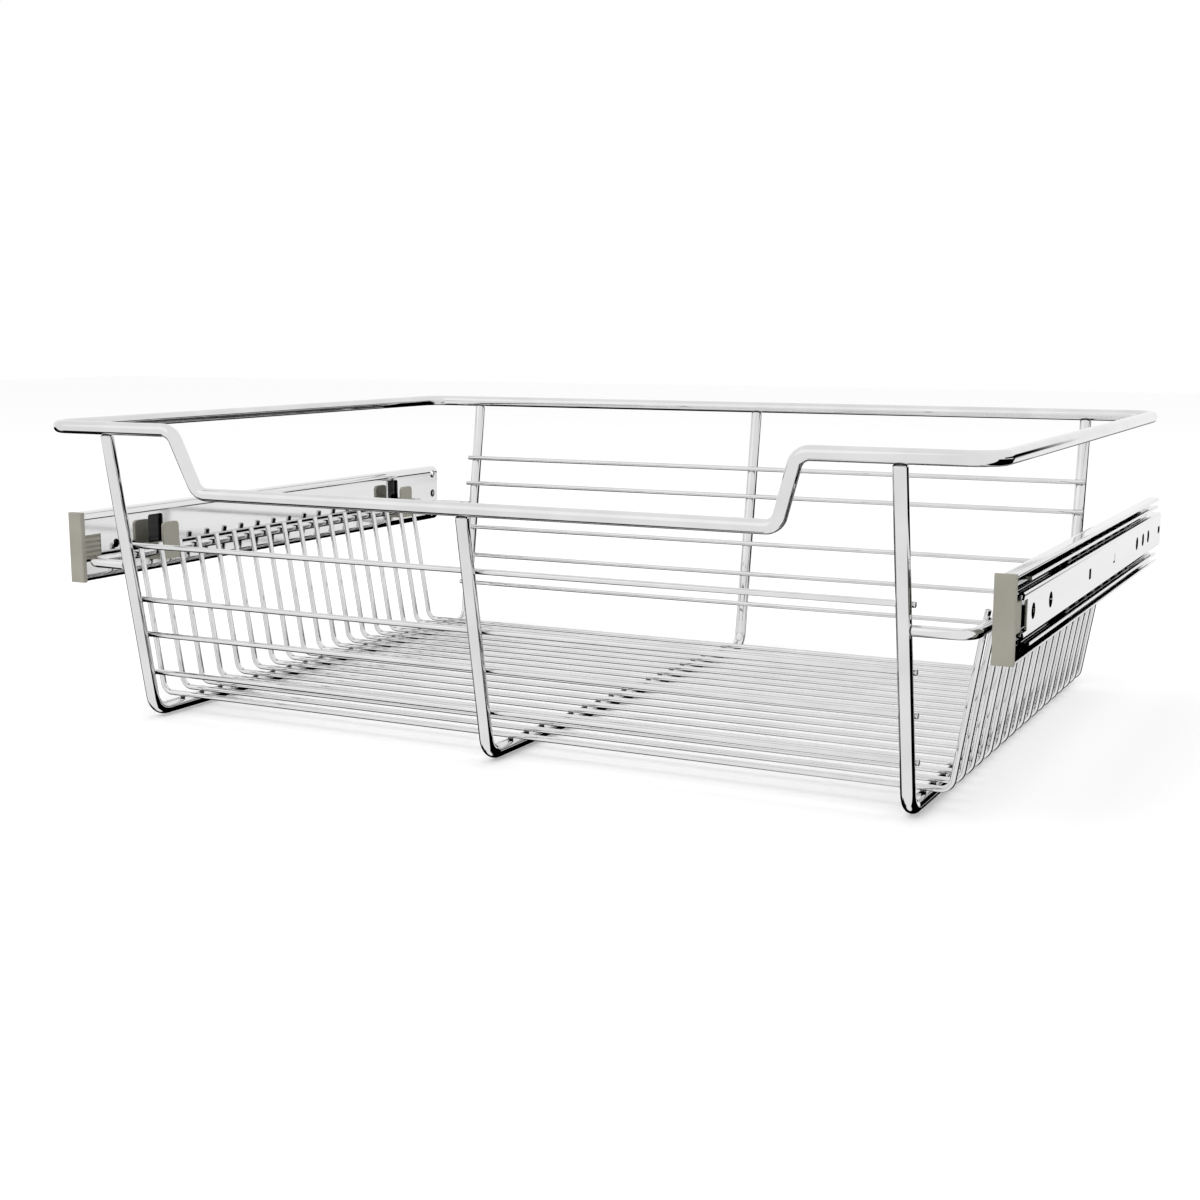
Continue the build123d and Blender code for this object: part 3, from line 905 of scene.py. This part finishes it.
@dataclass(frozen=True)
class RolledSection:
    """C section of rolled sheet: its web on local 0, its flanges standing out to its depth."""

    depth: float
    height: float
    sheet: float
    bend: float
    tip: float
    outer_groove: Groove | None = None
    inner_groove: Groove | None = None
    lip: float = 0.0
    lip_bend: float = 0.0
    bend_steps: int = 10
    tip_steps: int = 4
    lip_steps: int = 6
    lip_tip_steps: int = 3

    def edge(self) -> list[Pair]:
        """Points round a flange's free edge.

        Returns:
            The points, from the outer to the inner face.
        """
        top, reach, tip = self.height / 2, self.depth, self.tip
        if not self.lip:
            low = top - self.sheet
            points = arc((reach - tip, top - tip), tip, 90, 0, self.tip_steps)
            return points + arc((reach - tip, low + tip), tip, 0, -90, self.tip_steps)
        bend, low, back = self.lip_bend, top - self.lip, reach - self.sheet
        hollow = bend - self.sheet
        steps = self.lip_tip_steps
        points = arc((reach - bend, top - bend), bend, 90, 0, self.lip_steps)
        points += arc((reach - tip, low + tip), tip, 0, -90, steps)
        points += arc((back + tip, low + tip), tip, -90, -180, steps)
        return points + arc((back - hollow, top - self.sheet - hollow), hollow, 0, 90, steps)

    def outline(self) -> list[Pair]:
        """Closed outline of the section.

        Returns:
            The points, web first.
        """
        top, bend = self.height / 2, self.bend
        upper = arc((bend, top - bend), bend, 180, 90, self.bend_steps)
        if self.outer_groove:
            upper += self.outer_groove.across(top)
        upper += self.edge()
        if self.inner_groove:
            upper += self.inner_groove.across(top - self.sheet)[::-1]
        upper += arc((bend, top - bend), bend - self.sheet, 90, 180, self.bend_steps)
        return upper + [(x, -v) for x, v in reversed(upper)]


CORNER_STEPS = 8
FLAT_WEIGHT = 100


@dataclass(frozen=True)
class Punch:
    """One opening cut through a web: its outline along the slide and up."""

    outline: list[Pair]

    @classmethod
    def round(cls, y: float, v: float, diameter: float, sides: int = 48) -> "Punch":
        """Round hole."""
        return cls(arc((y, v), diameter / 2, 0, 360, sides)[:-1])

    @classmethod
    def block(cls, y: float, v: float, length: float, height: float, corner: float = 0.0) -> "Punch":
        """Rectangular hole, with rounded corners where the corner isn't 0.

        Args:
            y: its middle along the slide.
            v: its middle's height.
            length: its size along the slide.
            height: its size up.
            corner: radius of its corners.

        Returns:
            The hole.
        """
        a, b = length / 2 - corner, height / 2 - corner
        if not corner:
            return cls([(y - a, v - b), (y + a, v - b), (y + a, v + b), (y - a, v + b)])
        middles = [(a, b, 0), (-a, b, 90), (-a, -b, 180), (a, -b, 270)]
        return cls([
            point for s, t, turn in middles
            for point in arc((y + s, v + t), corner, turn, turn + 90, CORNER_STEPS)
        ])

    @classmethod
    def diamond(cls, y: float, v: float, reach: float) -> "Punch":
        """Square on its corner."""
        return cls([(y + reach, v), (y, v + reach), (y - reach, v), (y, v - reach)])

    @classmethod
    def hooked_slit(cls, y: float, v: float, rise: float, foot: float, width: float) -> "Punch":
        """L-shaped slit of a lanced tongue.

        Args:
            y: rear edge of its upright.
            v: its middle's height.
            rise: height of its upright.
            foot: reach of its foot, forward from the rear edge.
            width: width of the slit.

        Returns:
            The slit.
        """
        low = v - rise / 2
        return cls([
            (y, low), (y, low + rise), (y - width, low + rise),
            (y - width, low + width), (y - foot, low + width), (y - foot, low),
        ])


@dataclass
class SheetShop:
    """Rolls and punches the slides' sheet metal on one side of the basket."""

    side: Side
    web_x: float
    centre_z: float

    def point(self, u: float, y: float, v: float) -> Vector:
        """Place of a point given outward from the web, along the slide and up."""
        return Vector((self.side.value * (self.web_x + u), y, self.centre_z + v))

    def prism(self, name: str, rings: Sequence[tuple[list[Vector], list[Vector]]]) -> Object:
        """Closed prisms between pairs of matching outlines, as one object.

        Args:
            name: the object's name.
            rings: the two end outlines of each prism.

        Returns:
            The new object.
        """
        shape = bmesh.new()
        for first, last in rings:
            near = [shape.verts.new(p) for p in first]
            far = [shape.verts.new(p) for p in last]
            shape.faces.new(near)
            shape.faces.new(list(reversed(far)))
            for i in range(len(near)):
                j = (i + 1) % len(near)
                shape.faces.new((near[i], near[j], far[j], far[i]))
        bmesh.ops.recalc_face_normals(shape, faces=shape.faces[:])
        mesh = bpy.data.meshes.new(name)
        shape.to_mesh(mesh)
        shape.free()
        return new_object(name, mesh)

    def roll(self, name: str, section: RolledSection, start_u: float, way: int, ends: Pair) -> Object:
        """Roll a section from its web face on, its flanges standing outward (1) or inward (-1)."""
        rings = [[self.point(start_u + way * x, y, v) for x, v in section.outline()] for y in ends]
        return self.prism(name, [(rings[0], rings[1])])

    def punch(self, piece: Object, punches: Sequence[Punch], low_u: float, high_u: float) -> None:
        """Cut openings through a piece.

        Args:
            piece: what is cut.
            punches: the openings.
            low_u: where the cutting starts, outward from the web.
            high_u: where it stops.
        """
        rings = []
        for punch in punches:
            near, far = ([self.point(u, y, v) for y, v in punch.outline] for u in (low_u, high_u))
            rings.append((near, far))
        cutter = self.prism(f"{piece.name}_cutter", rings)
        modifier = piece.modifiers.new("punch", "BOOLEAN")
        modifier.operation = "DIFFERENCE"
        modifier.solver = "EXACT"
        modifier.object = cutter
        keep_evaluated(piece)
        bpy.data.objects.remove(cutter)

    @staticmethod
    def polish(piece: Object, finish: Finish, bend: float = 32.0) -> None:
        """Shade a piece so that its flats stay flat and its bends run smooth.

        Args:
            piece: the piece.
            finish: its finish.
            bend: sharpest angle that still shades as a bend, in degrees.
        """
        piece.data.materials.clear()
        piece.data.materials.append(finish.material())
        piece.data.polygons.foreach_set("use_smooth", [True] * len(piece.data.polygons))
        piece.data.set_sharp_from_angle(angle=math.radians(bend))
        modifier = piece.modifiers.new("flats", "WEIGHTED_NORMAL")
        modifier.mode = "FACE_AREA"
        modifier.weight = FLAT_WEIGHT
        modifier.keep_sharp = True
        keep_evaluated(piece)


# ---- Slides ---------------------------------------------------------------------
# Ball rows: outward from the channel's web, and up or down from the slide's middle.
OUTER_ROW: Pair = (6.2 * MM, 19.35 * MM)
INNER_ROW: Pair = (7.9 * MM, 13.65 * MM)


@dataclass(frozen=True)
class CageFit:
    """One ball cage between two members: its ball row, its web, its bends and its ends."""

    label: str
    row: Pair
    web_u: float
    bend: float
    front: float
    rear: float


@dataclass
class Slide:
    """One telescopic slide: three members, two cages with balls, cap and clips."""

    side: Side
    balls: Scatterer
    web_x: float = 292.5 * MM
    centre_z: float = 108.4 * MM
    sheet: float = 1.2 * MM
    sheet_tip: float = 0.3 * MM
    middle_sheet: float = 1.8 * MM
    middle_tip: float = 0.35 * MM
    channel_size: Pair = (11.0 * MM, 45.0 * MM)
    channel_ends: Pair = (-199.2 * MM, 217.0 * MM)
    channel_bend: float = 5.0 * MM
    channel_bend_steps: int = 16
    lip: float = 2.0 * MM
    lip_bend: float = 1.7 * MM
    channel_punch: Pair = (-1.0 * MM, 2.0 * MM)
    middle_u: float = 2.2 * MM
    middle_size: Pair = (8.8 * MM, 34.8 * MM)
    middle_ends: Pair = (-170.0 * MM, 213.5 * MM)
    middle_bend: float = 2.4 * MM
    middle_punch: Pair = (1.0 * MM, 5.0 * MM)
    cabinet_u: float = 11.6 * MM
    cabinet_size: Pair = (6.8 * MM, 23.4 * MM)
    cabinet_ends: Pair = (-188.0 * MM, 225.0 * MM)
    cabinet_bend: float = 2.0 * MM
    cabinet_punch: Pair = (9.5 * MM, 13.0 * MM)
    nose_chamfer: float = 3.4 * MM
    nose_punch: Pair = (3.0 * MM, 13.0 * MM)
    notch: Pair = (8.0 * MM, 16.0 * MM)
    notch_corner: float = 1.0 * MM
    tail_opening: Pair = (13.65 * MM, 15.7 * MM)
    ball: float = 4.6 * MM
    ball_play: float = 0.05 * MM
    cages: tuple[CageFit, ...] = (
        CageFit("outer", OUTER_ROW, web_u=1.5 * MM, bend=3.2 * MM, front=-66.0 * MM, rear=113.0 * MM),
        CageFit("inner", INNER_ROW, web_u=4.2 * MM, bend=1.2 * MM, front=-84.0 * MM, rear=109.5 * MM),
    )
    balls_per_row: int = 8
    ball_margin: float = 12.0 * MM
    cage_sheet: float = 0.4 * MM
    cage_tip: float = 0.1 * MM
    cage_rim: float = 0.5 * MM
    pocket: Pair = (4.8 * MM, 1.2 * MM)
    window_ys: Pair = (-133.85 * MM, 149.65 * MM)
    window_size: Pair = (14.4 * MM, 30.6 * MM)
    window_v: float = 0.3 * MM
    window_corner: float = 2.0 * MM
    screw_ys: tuple[float, ...] = (-167.0 * MM, 153.0 * MM, -127.4 * MM, 130.2 * MM, 173.6 * MM)
    screw_hole: float = 8.5 * MM
    access_y: float = 153.0 * MM
    pilot: Pair = (-171.8 * MM, 5.8 * MM)
    rear_hole: Pair = (209.5 * MM, 6.3 * MM)
    rear_hole_pitch: float = 16.4 * MM
    square_hole: Pair = (-24.45 * MM, 6.0 * MM)
    tongue_y: float = 52.4 * MM
    tongue_size: Triple = (5.4 * MM, 5.2 * MM, 1.2 * MM)
    end_slot_y: float = 217.2 * MM
    end_slot: Pair = (9.0 * MM, 5.0 * MM)
    end_slot_corner: float = 2.49 * MM
    mouldings: tuple[tuple[str, float], ...] = (
        ("end_cap", 0.45 * MM), ("front_clip", 0.4 * MM), ("rear_clip", 0.4 * MM),
    )
    # Faces of the middle web within this depth get the painted shade.
    greased: float = 0.05 * MM  # depth behind the middle web's face that still counts as its face
    merged: float = 0.002 * MM  # corners of a moulded piece nearer than this are one
    flat_angle: float = 1.0  # faces of a moulded piece nearer than this are one flat
    edge_angle: float = 30.0  # edges of a moulded piece sharper than this are rounded
    edge_steps: int = 3
    mould_bend: float = 50.0  # sharpest angle that still shades as a bend

    def __post_init__(self) -> None:
        """Set up the shop for this side."""
        self.shop = SheetShop(self.side, self.web_x, self.centre_z)

    def name(self, part: str) -> str:
        """Name of this side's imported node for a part."""
        return f"{self.side.label}_{part}"

    def groove(self, row: Pair, web_u: float, way: int) -> Groove:
        """Groove for a row of balls, in a member whose flanges stand outward (1) or inward (-1)."""
        return Groove(way * (row[0] - web_u), row[1], self.ball / 2 + self.ball_play)

    def build(self) -> None:
        """Make the whole slide."""
        self.build_channel()
        self.build_middle()
        self.build_cabinet_member()
        for fit in self.cages:
            self.build_cage(fit)
        for part, edge in self.mouldings:
            self.build_moulding(part, edge)

    def build_channel(self) -> None:
        """Roll the basket's channel and punch its openings."""
        depth, height = self.channel_size
        groove = self.groove(OUTER_ROW, 0.0, 1)
        section = RolledSection(
            depth, height, self.sheet, self.channel_bend, self.sheet_tip,
            inner_groove=groove, lip=self.lip, lip_bend=self.lip_bend,
            bend_steps=self.channel_bend_steps,
        )
        piece = self.shop.roll(self.name("channel_rolled"), section, 0.0, 1, self.channel_ends)
        punches = [
            Punch.block(self.channel_ends[0], 0.0, 2 * self.tail_opening[0], self.tail_opening[1]),
            Punch.round(self.pilot[0], 0.0, self.pilot[1]),
        ]
        for row in (-1, 0, 1):
            punches.append(Punch.round(self.rear_hole[0], row * self.rear_hole_pitch, self.rear_hole[1]))
        for y in self.window_ys:
            punches.append(Punch.block(y, self.window_v, *self.window_size, self.window_corner))
        self.shop.punch(piece, punches, *self.channel_punch)
        self.shop.polish(piece, SLIDE_CHROME)
        install(piece, Body.BASKET.value, self.name("basket_channel"))

    def build_middle(self) -> None:
        """Roll the middle member and punch the hole that a screwdriver goes through."""
        depth, height = self.middle_size
        section = RolledSection(
            depth, height, self.middle_sheet, self.middle_bend, self.middle_tip,
            outer_groove=self.groove(OUTER_ROW, self.middle_u, 1),
            inner_groove=self.groove(INNER_ROW, self.middle_u, 1),
        )
        piece = self.shop.roll(self.name("middle_rolled"), section, self.middle_u, 1, self.middle_ends)
        self.shop.punch(piece, [Punch.round(self.access_y, 0.0, self.screw_hole)], *self.middle_punch)
        self.shop.polish(piece, ZINC_STEEL)
        # Painted shade on the web face, where the openings show the slide's dark inside.
        self.grease_web(piece)
        install(piece, self.side.body("middle"), self.name("middle_member"))

    def grease_web(self, piece: Object) -> None:
        """Darken the middle member's web face, which only shows through openings, with painted shade of the
        slide's inside.

        Args:
            piece: the middle member.
        """
        piece.data.materials.append(SLIDE_INTERIOR_PAINTED_SHADE.material())
        limit = self.web_x + self.middle_u + self.greased
        for face in piece.data.polygons:
            if abs(face.center.x) < limit:
                face.material_index = 1

    def build_cabinet_member(self) -> None:
        """Roll the cabinet's member, chamfer its nose and punch its holes."""
        depth, height = self.cabinet_size
        section = RolledSection(
            depth, height, self.sheet, self.cabinet_bend, self.sheet_tip,
            outer_groove=self.groove(INNER_ROW, self.cabinet_u, -1),
        )
        piece = self.shop.roll(self.name("cabinet_rolled"), section, self.cabinet_u, -1, self.cabinet_ends)
        front = self.cabinet_ends[0]
        noses = [Punch.diamond(front, row * height / 2, self.nose_chamfer) for row in (-1, 1)]
        self.shop.punch(piece, noses, *self.nose_punch)
        punches = [
            Punch.block(front, 0.0, 2 * self.notch[0], self.notch[1], self.notch_corner),
            Punch.block(self.square_hole[0], 0.0, self.square_hole[1], self.square_hole[1]),
            Punch.hooked_slit(self.tongue_y, 0.0, *self.tongue_size),
            Punch.block(self.end_slot_y, 0.0, *self.end_slot, self.end_slot_corner),
        ]
        punches += [Punch.round(y, 0.0, self.screw_hole) for y in self.screw_ys]
        self.shop.punch(piece, punches, *self.cabinet_punch)
        self.shop.polish(piece, SLIDE_CHROME)
        install(piece, Body.CABINET.value, self.name("cabinet_member"))

    def build_cage(self, fit: CageFit) -> None:
        """Roll one cage, cut its pockets and fill them with balls.

        Args:
            fit: the cage's place.
        """
        ball_u, ball_v = fit.row
        start, count = fit.front + self.ball_margin, self.balls_per_row
        span = fit.rear - fit.front - 2 * self.ball_margin
        ys = [start + span * i / (count - 1) for i in range(count)]
        places = [(y, v) for y in ys for v in (-ball_v, ball_v)]
        depth = ball_u + self.ball / 2 + self.cage_rim - fit.web_u
        section = RolledSection(depth, 2 * ball_v + self.cage_sheet, self.cage_sheet, fit.bend, self.cage_tip)
        name, ends = self.name(f"{fit.label}_cage_rolled"), (fit.front, fit.rear)
        piece = self.shop.roll(name, section, fit.web_u, 1, ends)
        pockets = [Punch.block(y, v, *self.pocket) for y, v in places]
        self.shop.punch(piece, pockets, ball_u - self.pocket[0] / 2, ball_u + self.pocket[0] / 2)
        # The cage's near-black colour is painted shade of the slide's inside.
        self.shop.polish(piece, SLIDE_INTERIOR_PAINTED_SHADE)
        body = self.side.body(f"{fit.label}_cage")
        install(piece, body, self.name(f"{fit.label}_ball_cage"))
        size = Vector((1, 1, 1)) * (self.ball / 2)
        spots = [Spot(self.shop.point(ball_u, y, v), Vector(), size) for y, v in places]
        # The balls' near-black colour is painted shade of the slide's inside.
        rows = self.balls.scatter(self.name(f"{fit.label}_ball_rows"), spots, BALL_STEEL_PAINTED_SHADE.material())
        install(rows, body, self.name(f"{fit.label}_balls"))

    def build_moulding(self, part: str, edge: float) -> None:
        """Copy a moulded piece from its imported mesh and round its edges.

        Args:
            part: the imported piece.
            edge: radius of its edges.
        """
        node = self.name(part)
        shape = bmesh.new()
        shape.from_mesh(bpy.data.objects[node].data)
        bmesh.ops.remove_doubles(shape, verts=shape.verts[:], dist=self.merged)
        limit = math.radians(self.flat_angle)
        bmesh.ops.dissolve_limit(shape, angle_limit=limit, verts=shape.verts[:], edges=shape.edges[:])
        mesh = bpy.data.meshes.new(f"{node}_moulded")
        shape.to_mesh(mesh)
        shape.free()
        piece = new_object(f"{node}_moulded", mesh)
        modifier = piece.modifiers.new("edges", "BEVEL")
        modifier.width = edge
        modifier.segments = self.edge_steps
        modifier.limit_method = "ANGLE"
        modifier.angle_limit = math.radians(self.edge_angle)
        modifier.use_clamp_overlap = True
        keep_evaluated(piece)
        self.shop.polish(piece, GREY_PLASTIC, self.mould_bend)
        install(piece, Body.BASKET.value, node)


# ---- Studio ---------------------------------------------------------------------
@dataclass(frozen=True)
class SoftBox:
    """One soft light aimed at the basket."""

    name: str
    place: Triple
    size: float
    power: float
    in_chrome: bool
    target: Triple = (0.0, 0.0, 0.1)

    def hang(self) -> None:
        """Make the light."""
        data = bpy.data.lights.new(self.name, "AREA")
        data.size = self.size
        data.energy = self.power
        light = new_object(self.name, data)
        light.location = self.place
        light.visible_glossy = self.in_chrome
        aim = Vector(self.target) - Vector(self.place)
        light.rotation_euler = aim.to_track_quat("-Z", "Y").to_euler()


@dataclass(frozen=True)
class DarkFlag:
    """Dark cloth that only the chrome sees.

    Its turn is measured from +Y towards +X, and its widths are the half angles at
    which it ends and is full, all in degrees.  Its top and foot are heights of the
    unit direction, first where it ends and then where it is full.
    """

    turn: float
    widths: Pair
    top: Pair
    foot: Pair

    def shade(self, graph: Graph, level_way: NodeSocket, rise: NodeSocket) -> NodeSocket:
        """Darkness of the cloth in a direction.

        Args:
            graph: the world's nodes.
            level_way: the direction's level part, of unit length.
            rise: its height.

        Returns:
            1 on the cloth, 0 beside it.
        """
        turn = math.radians(self.turn)
        values = {0: level_way, 1: (math.sin(turn), math.cos(turn), 0)}
        beside = graph.add("ShaderNodeVectorMath", values, operation="DOT_PRODUCT").outputs["Value"]
        across = [math.cos(math.radians(half)) for half in self.widths]
        gates = []
        for value, (closed, opened) in ((beside, across), (rise, self.top), (rise, self.foot)):
            edge = {"Value": value, "From Min": closed, "From Max": opened}
            gate = graph.add("ShaderNodeMapRange", edge, interpolation_type="SMOOTHSTEP")
            gates.append(gate.outputs["Result"])
        return graph.fold("MULTIPLY", gates)


@dataclass
class Studio:
    """Camera, floor, lights and surroundings."""

    camera_place: Triple = (0.485383, -0.993602, 0.246131)
    camera_yaw: float = 27.172
    camera_pitch: float = 9.467
    lens: float = 50.02
    sensor: float = 36.0
    near_clip: float = 0.01
    picture: float = 1200.0
    optical_axis: Pair = (598.90, 608.15)
    floor_half: float = 6.0
    floor_drop: float = 1.0 * MM
    flags: tuple[DarkFlag, ...] = (
        DarkFlag(-47.0, (49.0, 40.0), (-0.08, -0.12), (-0.96, -0.90)),
        DarkFlag(54.0, (41.0, 36.0), (-0.13, -0.16), (-0.96, -0.90)),
        DarkFlag(43.0, (31.0, 27.0), (0.12, 0.09), (-0.09, -0.07)),
        DarkFlag(-100.0, (15.0, 9.0), (-0.55, -0.66), (-0.97, -0.92)),
        DarkFlag(5.0, (24.0, 18.0), (-0.26, -0.32), (-0.96, -0.90)),
        DarkFlag(23.0, (9.0, 6.0), (0.0, -0.03), (-0.30, -0.25)),
    )
    flag_level: float = 0.0
    lights: tuple[SoftBox, ...] = (
        SoftBox("overhead_softbox", (-0.5, -0.6, 1.9), size=2.4, power=14.0, in_chrome=False),
        SoftBox("front_softbox", (-1.5, -2.2, 1.7), size=2.2, power=2.4, in_chrome=True),
    )
    chrome_bounces: int = 1

    def build(self) -> None:
        """Make the whole studio."""
        self.set_exposure()
        self.build_camera()
        self.build_floor()
        self.build_world()
        for light in self.lights:
            light.hang()

    def build_camera(self) -> None:
        """Place the camera where the photograph was taken from."""
        data = bpy.data.cameras.new("camera")
        data.lens = self.lens
        data.sensor_width = self.sensor
        data.shift_x = (self.picture / 2 - self.optical_axis[0]) / self.picture
        data.shift_y = (self.optical_axis[1] - self.picture / 2) / self.picture
        data.clip_start = self.near_clip
        camera = new_object("camera", data)
        camera.location = self.camera_place
        camera.rotation_euler = (math.radians(90 - self.camera_pitch), 0, math.radians(self.camera_yaw))
        bpy.context.scene.camera = camera

    def build_floor(self) -> None:
        """Lay the pale floor just under the basket, unseen by the chrome."""
        half, z = self.floor_half, -self.floor_drop
        mesh = bpy.data.meshes.new("floor")
        corners = [(-half, -half, z), (half, -half, z), (half, half, z), (-half, half, z)]
        mesh.from_pydata(corners, [], [(0, 1, 2, 3)])
        mesh.materials.append(StudioPaper().material())
        floor = new_object("floor", mesh)
        floor.visible_glossy = False

    def build_world(self) -> None:
        """Surround the studio with white, and with dark flags that only the chrome sees."""
        world = bpy.data.worlds.new("studio_surroundings")
        world.use_nodes = True
        world.cycles.sampling_method = "NONE"
        graph = Graph(world.node_tree)
        place = graph.add("ShaderNodeTexCoord").outputs["Generated"]
        rise = graph.add("ShaderNodeSeparateXYZ", {"Vector": place}).outputs["Z"]
        level = graph.add("ShaderNodeVectorMath", {0: place, 1: (1, 1, 0)}, operation="MULTIPLY")
        level_way = graph.add("ShaderNodeVectorMath", {0: level.outputs["Vector"]}, operation="NORMALIZE")
        shades = [flag.shade(graph, level_way.outputs["Vector"], rise) for flag in self.flags]
        values = {"Value": graph.fold("MAXIMUM", shades), "To Min": 1.0, "To Max": self.flag_level}
        flagged = graph.add("ShaderNodeMapRange", values).outputs["Result"]
        sight = graph.add("ShaderNodeLightPath").outputs["Is Glossy Ray"]
        seen = graph.add("ShaderNodeMix", {"Factor": sight, "A": 1.0, "B": flagged}, data_type="FLOAT")
        graph.feed(world.node_tree.nodes["Background"], {"Color": seen.outputs["Result"]})
        bpy.context.scene.world = world

    def set_exposure(self) -> None:
        """Keep white white, and let chrome that faces chrome fall dark."""
        bpy.context.scene.view_settings.view_transform = "Standard"
        bpy.context.scene.cycles.glossy_bounces = self.chrome_bounces


def main() -> None:
    """Build the studio and dress every piece of the basket."""
    logging.basicConfig(level=logging.INFO, format="%(name)s: %(message)s")
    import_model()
    Studio().build()
    WireBasket(WireBender(), Scatterer(Scattered.WELD)).build()
    balls = Scatterer(Scattered.BALL)
    for side in Side:
        Slide(side, balls).build()


if __name__ == "__main__":
    main()
